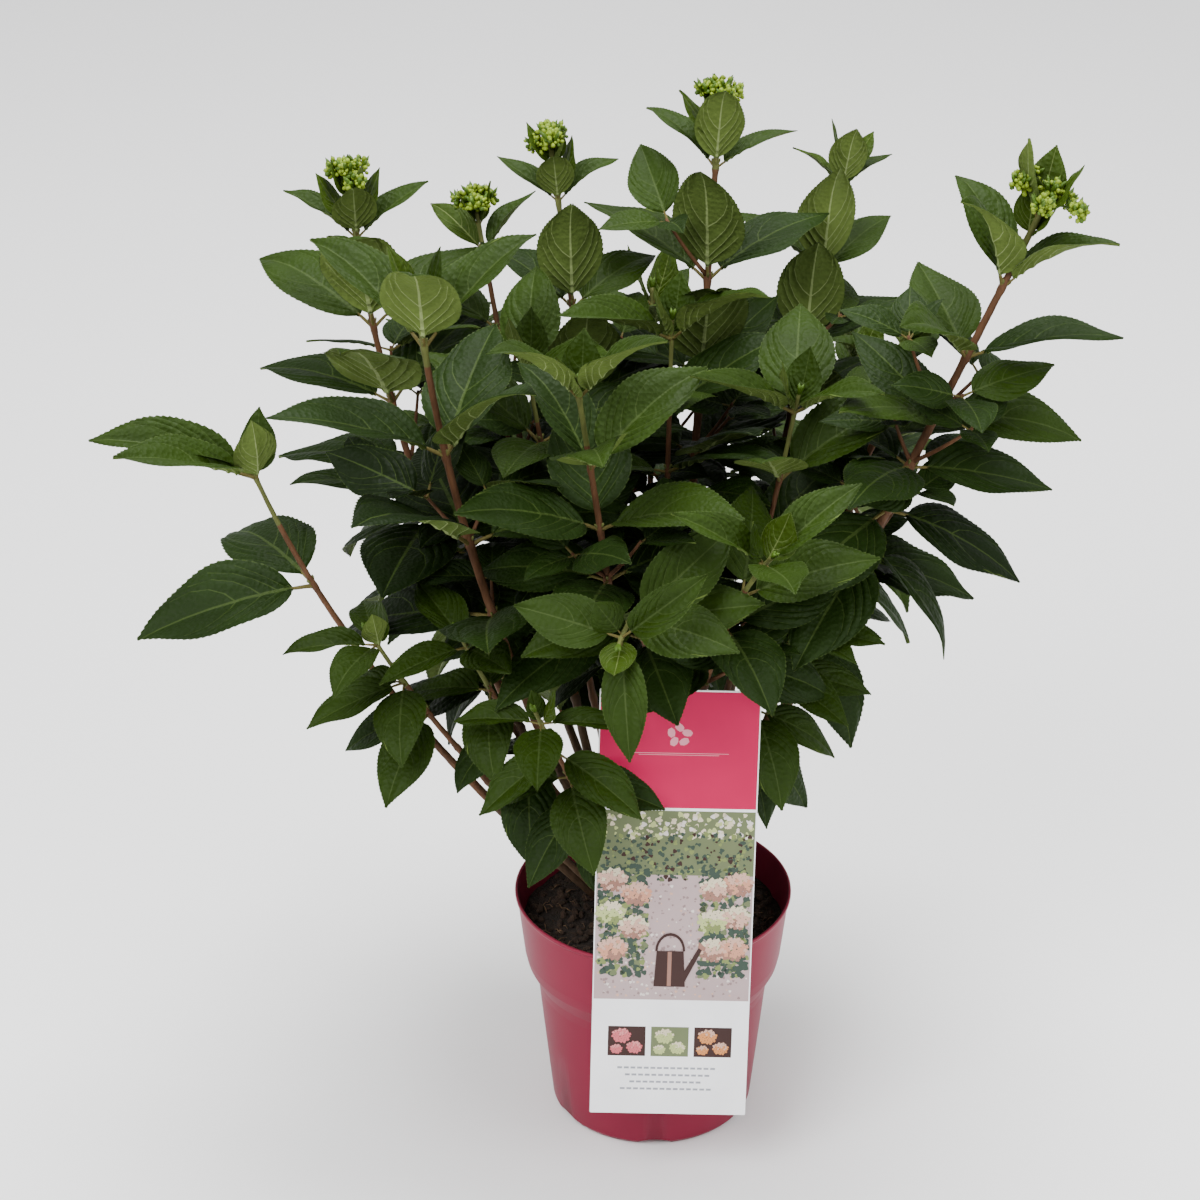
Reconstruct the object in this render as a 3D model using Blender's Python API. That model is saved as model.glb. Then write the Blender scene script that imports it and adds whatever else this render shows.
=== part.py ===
"""A young panicle hydrangea in its nursery pot, with the card that hooks over the pot's rim.

Metres, +Z up, origin at the middle of the pot's flat underside, the card on the -Y side.
A low woody crown stands on the root ball. Each shoot leaves it as a bare tapering bough, and goes on
inside its own mass of foliage as a twig that carries whorls of leaves, side twigs and flower buds.
"""

import math
import random
from collections import namedtuple

import bmesh
import bpy
from mathutils import Vector
from mathutils.bvhtree import BVHTree

UP = Vector((0, 0, 1))
FRONT = Vector((0, -1, 0))
GAP = 0.0003  # between pieces that meet

# The pot, turned: (height, outer radius) from the underside to the rim
POT_OUTLINE = (
    (0.0, 0.0665),
    (0.0035, 0.0695),
    (0.060, 0.0755),
    (0.094, 0.0790),
    (0.102, 0.0808),
    (0.114, 0.0868),
    (0.122, 0.0886),
    (0.158, 0.0928),
    (0.164, 0.0934),
    (0.1655, 0.0950),
    (0.168, 0.0950),
)
POT_SIDES = 40
POT_WALL = 0.0018
POT_FLOOR = 0.0055
INSIDE_HEIGHTS = (POT_FLOOR, 0.094, 0.122, 0.168)  # the inside has only the main bends
FOOT_NOTCHES = 6
NOTCH_WIDTH, NOTCH_HEIGHT, NOTCH_DEPTH = 0.020, 0.0030, 0.012

# The root ball that fills the pot, and the woody crown on it: (height over the soil, radius)
SOIL_TOP = 0.143
CROWN_OUTLINE = ((0.0, 0.036), (0.004, 0.031), (0.012, 0.027), (0.020, 0.022), (0.025, 0.012))
CROWN_SIDES = 20
FOOT_RINGS = (0.010, 0.0225)  # where the steep and the spreading shoots rise from the crown
SPREADING_REACH = 0.165
FOOT_HEIGHT = 0.006
STUB_LENGTH = 0.034

# The card
CARD_WIDTH, CARD_LENGTH, CARD_THICK = 0.105, 0.307, 0.0012
CARD_BELOW_RIM = 0.112
CARD_LEAN, CARD_ROLL = math.radians(8), math.radians(1.3)
CARD_AT = Vector((0.0115, -0.0985, 0.170))
TONGUE_WIDTH, TONGUE_THICK = 0.034, 0.0012
TONGUE_BACK_Y = -0.0826

# The shoots: tip in metres, how far out and up the path's middle control point bows, radius at the foot, bare
# share of the path, leaf size, distance of the first whorl from the tip, space between whorls, twist of the
# first whorl (0 faces the front, 90 the right), turn from whorl to whorl, leaves in a whorl, how much (in
# degrees) its young leaves rise and its old ones fall, how much steeper those that face the front stand, how
# far its leaves sweep outwards (0 to 1), and what is at the tip: "panicle" and "bloom" flower buds, a leaf
# "bud", or "open" leaves
SHOOT_FIELDS = "name tip out up thick bare leaf first space twist turn whorl rise steep sweep crown"
Shoot = namedtuple("Shoot", SHOOT_FIELDS)
SHOOTS = [Shoot(*row) for row in (
    ("centre_tall", (.042, .12, .699), 0, 0, .004, .42, .92, .048, .075, 0, 0, 3, 0, 92, 0, "bloom"),
    ("right", (.244, 0, .676), 0, 0, .0046, .48, .88, .066, .052, 320, 0, 3, 34, 44, 0, "panicle"),
    ("left_front", (-.15, -.05, .63), .05, 0, .0042, .4, 1.08, .036, .078, 0, 40, 3, 0, 88, 0, "open"),
    ("far_left", (-.261, -.03, .507), .06, 0, .0034, .7, 1.06, .012, .086, 262, 60, 2, 0, 0, .8, "open"),
    ("centre_left", (-.069, .11, .671), 0, .02, .0036, .44, .78, .04, .072, 0, 0, 3, 0, 92, 0, "bloom"),
    ("right_back", (.133, .195, .632), 0, .02, .0036, .44, .74, .026, .06, 0, 0, 3, 0, 92, 0, "bud"),
    ("left_back", (-.2, .1, .65), .08, .01, .0036, .42, .98, .042, .062, 0, 0, 3, 10, 80, 0, "bloom"),
    ("left_mid", (-.12, .15, .612), .02, .02, .0034, .46, .86, .034, .054, 0, 0, 3, 4, 80, 0, "bloom"),
    ("centre_front", (-.051, -.09, .59), 0, .03, .0036, .46, .9, .012, .056, 60, 60, 3, 16, 0, 0, "open"),
    ("low_front", (-.025, -.17, .45), -.08, .15, .0032, .62, .76, .01, .04, 64, 60, 3, 12, 0, 0, "open"),
    ("front_right", (.07, -.13, .49), -.03, .07, .0032, .5, .8, .014, .044, 20, 60, 3, 0, 0, .2, "open"),
    ("right_mid", (.165, .05, .56), .02, .02, .0034, .48, .9, .028, .052, 20, 60, 3, 0, 0, 0, "bud"),
    ("inner_left", (-.085, .02, .56), .01, .02, .003, .46, .9, .014, .05, 50, 60, 3, 0, 0, 0, "open"),
    ("inner_mid", (.01, .03, .58), 0, .03, .003, .46, .9, .014, .05, 60, 60, 3, 0, 0, 0, "open"),
    ("inner_right", (.09, -.02, .55), .01, .02, .003, .46, .9, .014, .05, 50, 60, 3, 0, 0, 0, "open"),
    ("low_right", (.095, -.05, .405), .02, .07, .003, .45, .6, .014, .038, 60, 60, 3, 0, 0, .7, "open"),
    ("low_left", (-.186, -.06, .4), .03, .01, .003, .66, .66, .012, .034, 250, 50, 3, 0, 0, .6, "open"),
    ("low_mid", (-.078, -.115, .372), .03, .05, .003, .4, .62, .014, .034, 0, 60, 3, 0, 0, .3, "open"),
    ("low_side", (-.128, -.06, .4), .03, .04, .003, .45, .7, .014, .04, 300, 60, 3, 0, 0, .3, "open"),
    ("back_left", (-.15, .225, .49), .05, .03, .0034, .42, .95, .028, .052, 0, 60, 3, 0, 0, 0, "bud"),
    ("back_mid", (0, .245, .51), .05, .03, .0034, .42, .95, .028, .052, 20, 60, 3, 0, 0, 0, "bud"),
    ("back_right", (.145, .215, .48), .05, .03, .0034, .42, .95, .028, .052, 34, 60, 3, 0, 0, 0, "bud"),
    ("low_back", (.05, .17, .34), .04, .01, .0028, .44, .76, .028, .044, 30, 60, 3, 0, 0, 0, "bud"),
)]

TIP_SHARE = 0.42  # a shoot's radius at its tip over that at its foot
LOWEST_WHORL = 0.014  # above the start of the mass
CLOSING = 0.86  # each space between whorls over the one above it
HANG_HEIGHT, HANG_RANGE = 0.47, 0.16  # leaves below this height hang, all of them a range lower
LEAF_LENGTH = 0.118
YOUNG_LACKS = {"panicle": 0.014, "bloom": 0.050, "bud": 0.054, "open": 0.018}  # by what is at the tip
LEVELLING = 0.7  # how far a leaf rises from the level rather than from square to its stem
TURNING = 0.5  # how far a level leaf turns its face to the light
LIGHT = Vector((0, -0.38, 0.92)).normalized()  # the plant has grown towards the front
STEEP_RANGE, STEEPEST, LOWEST_LIFT = 0.16, 80, -34
FOLD_RANGE = 0.06  # over which the side leaves open
SWEEP_RANGE = 0.3
RISE_RANGE = 0.12  # a shoot's rise lifts its leaves above here and lowers those below
FRONT_GAIN = 0.07  # how much longer the leaves at the front are
LEAF_WIDTH = 0.52  # of its length
LEAF_THICK = 0.014  # of its length
PETIOLE = 0.12  # of its length
PETIOLE_RADIUS = 0.0006
LEAF_STATIONS = (0.0, 0.30, 0.62)
CLEARANCE = 0.0007
TWIG_SIDES, BOUGH_SIDES, SIDE_TWIG_SIDES = 4, 6, 3
SIDE_TWIG_CHANCE, SIDE_TWIG_FROM = 0.30, 0.14  # below the tip
PATH_STEPS = 64

COLOURS = {
    "pot": (0.376, 0.060, 0.100),
    "soil": (0.020, 0.012, 0.008),
    "card": (0.780, 0.760, 0.780),
    "wood": (0.130, 0.062, 0.034),
    "leaf": (0.036, 0.105, 0.018),
}


# ---- Meshes ----

def mesh_object(name, points, faces):
    mesh = bpy.data.meshes.new(name)
    mesh.from_pydata([tuple(point) for point in points], [], faces)
    mesh.validate()
    found = bpy.data.objects.new(name, mesh)
    bpy.context.scene.collection.objects.link(found)
    return found


def material(name, roughness):
    made = bpy.data.materials.new(name)
    made.use_nodes = True
    shader = made.node_tree.nodes["Principled BSDF"]
    shader.inputs["Base Color"].default_value = (*COLOURS[name], 1)
    shader.inputs["Roughness"].default_value = roughness
    return made


def joined_rings(rings, tip=None):
    """Points and faces of a closed skin over rings of equal length, ending in a cap or in a tip."""
    sides = len(rings[0])
    points = [point for ring in rings for point in ring]
    faces = [tuple(range(sides))[::-1]]
    for i in range(len(rings) - 1):
        for j in range(sides):
            a, b = i * sides + j, i * sides + (j + 1) % sides
            faces.append((a, b, b + sides, a + sides))
    last = (len(rings) - 1) * sides
    if tip is None:
        faces.append(tuple(range(last, last + sides)))
    else:
        points.append(tip)
        faces += [(last + j, last + (j + 1) % sides, len(points) - 1) for j in range(sides)]
    return points, faces


def ring(centre, across, over, radius, sides):
    turns = (2 * math.pi * i / sides for i in range(sides))
    return [centre + radius * (math.cos(turn) * across + math.sin(turn) * over) for turn in turns]


def tube(points, radii, sides):
    """A tapering tube with flat ends, square to its path."""
    along = [(points[min(i + 1, len(points) - 1)] - points[max(i - 1, 0)]).normalized()
             for i in range(len(points))]
    across = along[0].orthogonal().normalized()
    rings = []
    for point, heading, radius in zip(points, along, radii):
        across = (across - across.dot(heading) * heading).normalized()
        rings.append(ring(point, across, heading.cross(across), radius, sides))
    return joined_rings(rings)


def turned(outline, sides, lobes=0.0):
    """A turned solid from (height, radius) points, from a flat underside up to a flat top."""
    rings = []
    for height, radius in outline:
        turns = [2 * math.pi * i / sides for i in range(sides)]
        wide = [radius * (1 + lobes * math.cos(5 * turn + 0.6)) for turn in turns]
        rings.append([Vector((r * math.cos(t), r * math.sin(t), height)) for r, t in zip(wide, turns)])
    return joined_rings(rings)


def keep_largest(mesh):
    """Fills sealed hollows and drops loose scraps: only the body with the largest volume stays."""
    work = bmesh.new()
    work.from_mesh(mesh)
    bmesh.ops.triangulate(work, faces=work.faces)
    left = set(work.faces)
    bodies = []
    while left:
        body, edge = [], [left.pop()]
        while edge:
            face = edge.pop()
            body.append(face)
            plain = [side for side in face.edges if len(side.link_faces) == 2]
            for near in (link for side in plain for link in side.link_faces):
                if near in left:
                    left.remove(near)
                    edge.append(near)
        bodies.append(body)
    bodies.sort(key=body_volume)
    for body in bodies[:-1]:
        bmesh.ops.delete(work, geom=body, context="FACES")
    work.to_mesh(mesh)
    work.free()


def body_volume(faces):
    total = 0.0
    for face in faces:
        first, *rest = [loop.vert.co for loop in face.loops]
        total += sum(first.dot(a.cross(b)) for a, b in zip(rest, rest[1:])) / 6
    return total


def united(name, pieces, solver="EXACT"):
    """One body from closed pieces that run into each other."""
    first, *others = [mesh_object(name, *piece) for piece in pieces]
    if others:
        cutters = bpy.data.collections.new(name + "_pieces")
        bpy.context.scene.collection.children.link(cutters)
        for other in others:
            cutters.objects.link(other)
        join = first.modifiers.new("Union", "BOOLEAN")
        join.operation = "UNION"
        join.solver = solver
        join.operand_type = "COLLECTION"
        join.collection = cutters
        graph = bpy.context.evaluated_depsgraph_get()
        whole = bpy.data.meshes.new_from_object(first.evaluated_get(graph))
        first.modifiers.clear()
        first.data = whole
        keep_largest(whole)
        for other in others:
            bpy.data.objects.remove(other)
        bpy.data.collections.remove(cutters)
    return first


def cut(body, cutters):
    for cutter in cutters:
        join = body.modifiers.new("Cut", "BOOLEAN")
        join.operation = "DIFFERENCE"
        join.object = cutter
    graph = bpy.context.evaluated_depsgraph_get()
    whole = bpy.data.meshes.new_from_object(body.evaluated_get(graph))
    body.modifiers.clear()
    body.data = whole
    for cutter in cutters:
        bpy.data.objects.remove(cutter)


# ---- Pot, root ball, card and crown ----

def outer_radius(height):
    for (low, inner), (high, outer) in zip(POT_OUTLINE, POT_OUTLINE[1:]):
        if height <= high:
            return inner + (outer - inner) * (height - low) / (high - low)
    return POT_OUTLINE[-1][1]


def inner_radius(height):
    """Inside the wall, on the straight lines between the inside's own bends."""
    for low, high in zip(INSIDE_HEIGHTS, INSIDE_HEIGHTS[1:]):
        if height <= high:
            share = (height - low) / (high - low)
            return (1 - share) * outer_radius(low) + share * outer_radius(high) - POT_WALL
    return outer_radius(height) - POT_WALL


def notch_cutter(index):
    """A lying cylinder whose top shaves an arch off the pot's foot."""
    turn = -math.pi / 2 + 0.02 + 2 * math.pi * index / FOOT_NOTCHES
    radius = ((NOTCH_WIDTH / 2) ** 2 + NOTCH_HEIGHT**2) / (2 * NOTCH_HEIGHT)
    heading = Vector((math.cos(turn), math.sin(turn), 0))
    middle = (NOTCH_HEIGHT - radius) * UP
    ends = [outer_radius(0) - NOTCH_DEPTH, outer_radius(0) + NOTCH_DEPTH]
    rings = [ring(middle + end * heading, heading.cross(UP), UP, radius, 32) for end in ends]
    points, faces = joined_rings(rings)
    return mesh_object("notch", points, [face[::-1] for face in faces])


def make_pot():
    inner = [(height, inner_radius(height)) for height in reversed(INSIDE_HEIGHTS)]
    outline = list(POT_OUTLINE) + inner
    pot = mesh_object("pot", *turned(outline, POT_SIDES))
    cut(pot, [notch_cutter(i) for i in range(FOOT_NOTCHES)])
    return pot


def make_soil():
    heights = [POT_FLOOR + GAP, *INSIDE_HEIGHTS[1:-1], SOIL_TOP]
    outline = [(height, inner_radius(height) - GAP) for height in heights]
    return mesh_object("root_ball", *turned(outline, POT_SIDES))


def slab(low, high):
    corners = [Vector((x, y, z)) for z in (low.z, high.z) for x, y in
               ((low.x, low.y), (high.x, low.y), (high.x, high.y), (low.x, high.y))]
    return joined_rings([corners[:4], corners[4:]])


def card_axes():
    """The card's width and length directions."""
    level = Vector((math.cos(CARD_ROLL), 0, -math.sin(CARD_ROLL)))
    upright = Vector((math.sin(CARD_ROLL), math.sin(CARD_LEAN), math.cos(CARD_LEAN)))
    upright.normalize()
    return level, upright


def make_card():
    level, upright = card_axes()
    inward = upright.cross(level).normalized()
    if inward.y < 0:
        inward = -inward
    corners = []
    for depth in (0, CARD_THICK):
        for side, length in ((-1, -CARD_BELOW_RIM), (1, -CARD_BELOW_RIM),
                             (1, CARD_LENGTH - CARD_BELOW_RIM), (-1, CARD_LENGTH - CARD_BELOW_RIM)):
            corners.append(CARD_AT + side * CARD_WIDTH / 2 * level + length * upright + depth * inward)
    sheet = joined_rings([corners[4:], corners[:4]])
    left, right = CARD_AT.x - TONGUE_WIDTH / 2, CARD_AT.x + TONGUE_WIDTH / 2
    over = POT_OUTLINE[-1][0] + 2 * GAP
    bridge = slab(Vector((left, CARD_AT.y + CARD_THICK / 2, over)),
                  Vector((right, TONGUE_BACK_Y, over + TONGUE_THICK)))
    down = slab(Vector((left, TONGUE_BACK_Y - TONGUE_THICK, SOIL_TOP + GAP)),
                Vector((right, TONGUE_BACK_Y, over + TONGUE_THICK / 2)))
    return united("card_label", [sheet, bridge, down])


# ---- The shoots' paths ----

def feet():
    """Where each shoot rises from the crown: on two rings, in the order of the shoots' own bearings."""
    found = {}
    for spreading, radius in enumerate(FOOT_RINGS):
        ringed = [s for s in SHOOTS if (math.hypot(*s.tip[:2]) > SPREADING_REACH) == bool(spreading)]
        ringed.sort(key=lambda s: math.atan2(s.tip[1], s.tip[0]))
        step = 2 * math.pi / len(ringed)
        bearings = [math.atan2(s.tip[1], s.tip[0]) for s in ringed]
        first = sum(b - i * step for i, b in enumerate(bearings)) / len(ringed)
        for i, shoot in enumerate(ringed):
            turn = first + i * step
            found[shoot.name] = Vector((radius * math.cos(turn), radius * math.sin(turn),
                                        SOIL_TOP + FOOT_HEIGHT))
    return found


def shoot_path(shoot, foot):
    """Evenly spaced points along the shoot, and its length."""
    tip = Vector(shoot.tip)
    outward = Vector((tip.x, tip.y, 0)).normalized()
    middle = (foot + tip) / 2 + shoot.out * outward + shoot.up * UP
    fine = []
    for i in range(PATH_STEPS + 1):
        t = i / PATH_STEPS
        fine.append((1 - t) ** 2 * foot + 2 * t * (1 - t) * middle + t * t * tip)
    return fine


class Path:
    """A polyline read by its length from the foot."""

    def __init__(self, points):
        self.points = points
        self.marks = [0.0]
        for a, b in zip(points, points[1:]):
            self.marks.append(self.marks[-1] + (b - a).length)
        self.length = self.marks[-1]

    def at(self, distance):
        distance = min(max(distance, 0), self.length)
        for i in range(len(self.points) - 1):
            if distance <= self.marks[i + 1] or i == len(self.points) - 2:
                share = (distance - self.marks[i]) / (self.marks[i + 1] - self.marks[i])
                return self.points[i].lerp(self.points[i + 1], share)

    def heading(self, distance):
        return (self.at(distance + 0.004) - self.at(distance - 0.004)).normalized()

    def stretch(self, start, end, steps):
        return [self.at(start + (end - start) * i / steps) for i in range(steps + 1)]


def shoot_radius(shoot, path, distance):
    return shoot.thick * (1 - (1 - TIP_SHARE) * distance / path.length)


def shoot_tube(shoot, path, start, end, steps, sides):
    marks = [start + (end - start) * i / steps for i in range(steps + 1)]
    return tube([path.at(m) for m in marks], [shoot_radius(shoot, path, m) for m in marks], sides)


# ---- Leaves ----

Leaf = namedtuple("Leaf", "root along normal length droop width")


def half_width(leaf, u):
    if u <= PETIOLE:
        return PETIOLE_RADIUS
    v = (u - PETIOLE) / (1 - PETIOLE)
    oval = v**0.6 * (1 - v) ** 0.95 / 0.3555
    return max(PETIOLE_RADIUS, leaf.width / 2 * leaf.length * oval)


def leaf_rib(leaf, u):
    """Point, heading and upper side of the midrib at the share u of the leaf's length."""
    side = leaf.along.cross(leaf.normal)
    steps = 8
    point = leaf.root.copy()
    heading = leaf.along
    for i in range(steps):
        bend = leaf.droop * u * (i + 0.5) / steps
        heading = math.cos(bend) * leaf.along - math.sin(bend) * leaf.normal
        point = point + heading * (leaf.length * u / steps)
    return point, heading, side.cross(heading)


def leaf_solid(leaf, stations=LEAF_STATIONS, swell=0.0):
    """A closed wedge-shaped blade: flat on top, ridged below."""
    side = leaf.along.cross(leaf.normal)
    thick = LEAF_THICK * leaf.length + swell
    rings = []
    for u in stations:
        point, _, upper = leaf_rib(leaf, u)
        half = half_width(leaf, u) + swell
        depth = max(thick, PETIOLE_RADIUS * 1.8) if u <= PETIOLE else thick
        rings.append([point + half * side + depth / 3 * upper,
                      point - 2 * depth / 3 * upper,
                      point - half * side + depth / 3 * upper])
    points, faces = joined_rings(rings, leaf_rib(leaf, 1)[0])
    return points, faces


def leaf_at(root, heading, bearing, lift, roll, length, droop, width):
    """A leaf that leaves a stem of this heading at a bearing round it, lifted towards its tip."""
    front = (FRONT - FRONT.dot(heading) * heading).normalized()
    across = math.cos(bearing) * front + math.sin(bearing) * heading.cross(front)
    along = (math.cos(lift) * across + math.sin(lift) * heading).normalized()
    outward = Vector((across.x, across.y, 0))
    if outward.length > 0.3:
        level = math.cos(lift) * outward.normalized() + math.sin(lift) * UP
        along = along.lerp(level, LEVELLING).normalized()
    inner = (math.cos(lift) * heading - math.sin(lift) * across).normalized()
    lit = LIGHT - LIGHT.dot(along) * along
    normal = inner.lerp(lit.normalized(), TURNING * (1 - along.z**2))
    normal = (normal - normal.dot(along) * along).normalized()
    normal = math.cos(roll) * normal + math.sin(roll) * along.cross(normal)
    return Leaf(root, along, normal, length, droop, width)


class Space:
    """What is taken: a leaf is placed only where it meets nothing of another piece."""

    def __init__(self):
        self.taken = []

    def add(self, solid, owner):
        points, faces = solid
        tree = BVHTree.FromPolygons(points, faces)
        middle = sum(points, Vector()) / len(points)
        reach = max((point - middle).length for point in points)
        self.taken.append((tree, middle, reach, owner))

    def free(self, solid, skip=None):
        points, faces = solid
        tree = BVHTree.FromPolygons(points, faces)
        middle = sum(points, Vector()) / len(points)
        reach = max((point - middle).length for point in points)
        for other, centre, radius, owner in self.taken:
            if owner != skip and (centre - middle).length < reach + radius and tree.overlap(other):
                return False
        return True


def blade(leaf, swell=0.0):
    return leaf_solid(leaf, (0.18, 0.30, 0.62), swell)


def placed(space, owner, root, heading, bearing, lift, roll, length, droop, width=LEAF_WIDTH):
    """The leaf as asked, or turned, lifted or shortened a little until it is clear, or None."""
    for turn, raise_by, share in ((0, 0, 1), (14, 0, 1), (-14, 0, 1), (0, 16, 0.96), (24, 10, 0.9),
                                  (-24, 10, 0.9), (0, -16, 0.88), (12, 0, 0.72), (-12, 0, 0.72)):
        leaf = leaf_at(root, heading, bearing + math.radians(turn), lift + math.radians(raise_by),
                       roll, length * share, droop, width)
        if space.free(leaf_solid(leaf, swell=CLEARANCE), owner) and space.free(blade(leaf, CLEARANCE)):
            return leaf
    return None


# ---- Masses of foliage ----

def facing(shoot, bearing):
    """How far a leaf of an upright shoot faces the light at the front: 0 at the sides, 1 at the front."""
    return max(math.cos(bearing), 0) ** 2 * shoot.steep / 90


def leaf_size(shoot, below_tip, bearing, rng):
    young = YOUNG_LACKS[shoot.crown] * math.exp(-(below_tip - shoot.first) / 0.036)
    old = 1 - 0.22 * min(max((below_tip - 0.24) / 0.2, 0), 1)
    lit = 1 + FRONT_GAIN * facing(shoot, bearing)
    return shoot.leaf * (LEAF_LENGTH - young) * old * lit * rng.uniform(0.9, 1.06)


def hang(height):
    """How far a leaf at this height hangs: 0 in the light, 1 low in the shade."""
    return min(max((HANG_HEIGHT - height) / HANG_RANGE, 0), 1)


def leaf_width(shoot, below_tip, bearing):
    """Young leaves that stand to the side are still half folded."""
    folded = math.exp((shoot.first - below_tip) / FOLD_RANGE)
    return LEAF_WIDTH * (1 - 0.42 * folded * abs(math.sin(bearing)))


def swept(shoot, below_tip, bearing):
    """A bearing turned towards the side to which the shoot leans."""
    outward = math.degrees(math.atan2(shoot.tip[0], -shoot.tip[1]))
    share = shoot.sweep * math.exp(-below_tip / SWEEP_RANGE)
    return bearing + share * ((outward - bearing + 180) % 360 - 180)


def leaf_lift(shoot, below_tip, height, bearing, rng):
    lift = 41 - 65 * below_tip - 52 * hang(height)
    lift += shoot.rise * min(max(1 - below_tip / RISE_RANGE, -1), 1)
    lift += 90 * facing(shoot, bearing) * math.exp(-below_tip / STEEP_RANGE)
    lift = min(max(lift, LOWEST_LIFT), STEEPEST)
    return math.radians(lift + rng.uniform(-8, 8))


def leaf_droop(shoot, below_tip, height, bearing, rng):
    droop = (34 - 24 * math.exp(-below_tip / 0.08)) * (1 - 0.7 * facing(shoot, bearing)) + 12 * hang(height)
    return math.radians(droop + rng.uniform(-7, 9))


def whorl_marks(shoot, path):
    """Distances from the tip of the whorls, down to where the mass starts."""
    lowest = path.length * (1 - shoot.bare) - LOWEST_WHORL
    marks = []
    mark, space = shoot.first, shoot.space
    while mark < lowest:
        marks.append(mark)
        mark += space
        space *= CLOSING
    return marks


def octahedron(centre, radius, heading):
    across = heading.orthogonal().normalized()
    over = heading.cross(across)
    corners = [centre + radius * v for v in (across, over, -across, -over)]
    points = corners + [centre + 1.15 * radius * heading, centre - 1.15 * radius * heading]
    faces = [(i, (i + 1) % 4, 4) for i in range(4)] + [((i + 1) % 4, i, 5) for i in range(4)]
    return points, faces


def tip_pieces(shoot, tip, heading, rng):
    """A tight panicle of flower buds, or the folded leaf bud of a shoot that has none yet."""
    if shoot.crown in ("bud", "open"):
        return [octahedron(tip, 0.0045, heading)]
    across = heading.orthogonal().normalized()
    pieces = [octahedron(tip + 0.006 * heading, 0.009, heading)]
    spread, count = (0.021, 5) if shoot.crown == "panicle" else (0.0095, 3)
    for i in range(count):
        turn = 2 * math.pi * (i + rng.uniform(-0.15, 0.15)) / count
        out = math.cos(turn) * across + math.sin(turn) * heading.cross(across)
        head = tip + spread * out + rng.uniform(-0.003, 0.005) * heading
        pieces.append(octahedron(head, 0.0070, heading))
        if shoot.crown == "panicle":
            pieces.append(tube([tip - 0.006 * heading, head], [0.0012, 0.0010], SIDE_TWIG_SIDES))
    return pieces


def crown_leaves(shoot, space, path, rng):
    """The small upright leaves that cup the tip."""
    found = []
    flowering = shoot.crown in ("bloom", "panicle")
    mark = path.length - (0.030 if flowering else 0.014)
    for i in range(2):
        behind = 110 + 140 * i
        bearing = math.radians(shoot.twist + behind + rng.uniform(-14, 14))
        found.append(placed(space, shoot.name, path.at(mark), path.heading(mark), bearing,
                            math.radians(rng.uniform(56, 64)), 0, shoot.leaf * rng.uniform(0.044, 0.052),
                            math.radians(-26), 0.60))
    return found


def side_twig(shoot, space, path, mark, bearing, rng):
    """A short shoot from the axil of a leaf, with a pair of leaves and a last one at its tip."""
    heading = path.heading(mark)
    front = (FRONT - FRONT.dot(heading) * heading).normalized()
    across = math.cos(bearing) * front + math.sin(bearing) * heading.cross(front)
    going = (across + 0.75 * heading + 0.3 * UP).normalized()
    length = rng.uniform(0.032, 0.058)
    root = path.at(mark)
    end = root + length * going + 0.15 * length * UP
    points = [root, root.lerp(end, 0.5) + 0.06 * length * across, end]
    wide = min(0.0016, 0.8 * shoot_radius(shoot, path, mark))
    solid = tube(points, [wide, 0.85 * wide, 0.6 * wide], SIDE_TWIG_SIDES)
    if not space.free(tube([points[0].lerp(points[1], 0.25), *points[1:]],
                           [w + CLEARANCE for w in (wide, wide, wide)], SIDE_TWIG_SIDES)):
        return None, []
    tip_heading = (end - points[1]).normalized()
    leaves = []
    for i in range(3):
        size = shoot.leaf * rng.uniform(0.048, 0.064)
        turn = bearing + math.radians(120 * i + rng.uniform(-15, 15))
        leaves.append(placed(space, shoot.name, end - 0.003 * tip_heading, tip_heading, turn,
                             math.radians(rng.uniform(18, 40)), math.radians(rng.uniform(-10, 10)), size,
                             math.radians(rng.uniform(10, 26))))
    return solid, leaves


def make_mass(shoot, space, path, tip, rng):
    """The shoot's twig from where its bough ends, with its whorls, side twigs and tip."""
    start = shoot.bare * path.length + GAP
    pieces = [shoot_tube(shoot, path, start, path.length, 6, TWIG_SIDES), *tip]
    leaves = crown_leaves(shoot, space, path, rng)
    for leaf in filter(None, leaves):
        space.add(blade(leaf), shoot.name)
    for i, below in enumerate(whorl_marks(shoot, path)):
        mark = path.length - below
        twist = shoot.twist + shoot.turn * i
        for j in range(shoot.whorl):
            bearing = math.radians(swept(shoot, below, twist + 360 * j / shoot.whorl) + rng.uniform(-11, 11))
            root = path.at(mark)
            found = placed(space, shoot.name, root, path.heading(mark), bearing,
                           leaf_lift(shoot, below, root.z, bearing, rng), math.radians(rng.uniform(-12, 12)),
                           leaf_size(shoot, below, bearing, rng),
                           leaf_droop(shoot, below, root.z, bearing, rng), leaf_width(shoot, below, bearing))
            leaves.append(found)
            if found:
                space.add(leaf_solid(found), shoot.name)
                space.add(blade(found), shoot.name)
        if below > SIDE_TWIG_FROM and rng.random() < SIDE_TWIG_CHANCE:
            bearing = math.radians(twist + 180 / shoot.whorl + rng.uniform(-20, 20))
            solid, more = side_twig(shoot, space, path, mark + 0.004, bearing, rng)
            if solid:
                pieces.append(solid)
                space.add(solid, shoot.name)
                leaves += more
                for leaf in filter(None, more):
                    space.add(blade(leaf), shoot.name)
    kept = [leaf for leaf in leaves if leaf]
    pieces += [leaf_solid(leaf) for leaf in kept]
    print(shoot.name, "leaves", len(kept), "of", len(leaves))
    return united("foliage_" + shoot.name, pieces)


def clothe(objects, made, smooth):
    for found in objects:
        found.data.materials.clear()
        found.data.materials.append(made)
        if smooth:
            found.data.shade_smooth()
            found.data.set_sharp_from_angle(angle=math.radians(40))


def solid_of(found):
    mesh = found.data
    return [v.co.copy() for v in mesh.vertices], [tuple(p.vertices) for p in mesh.polygons]


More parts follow.
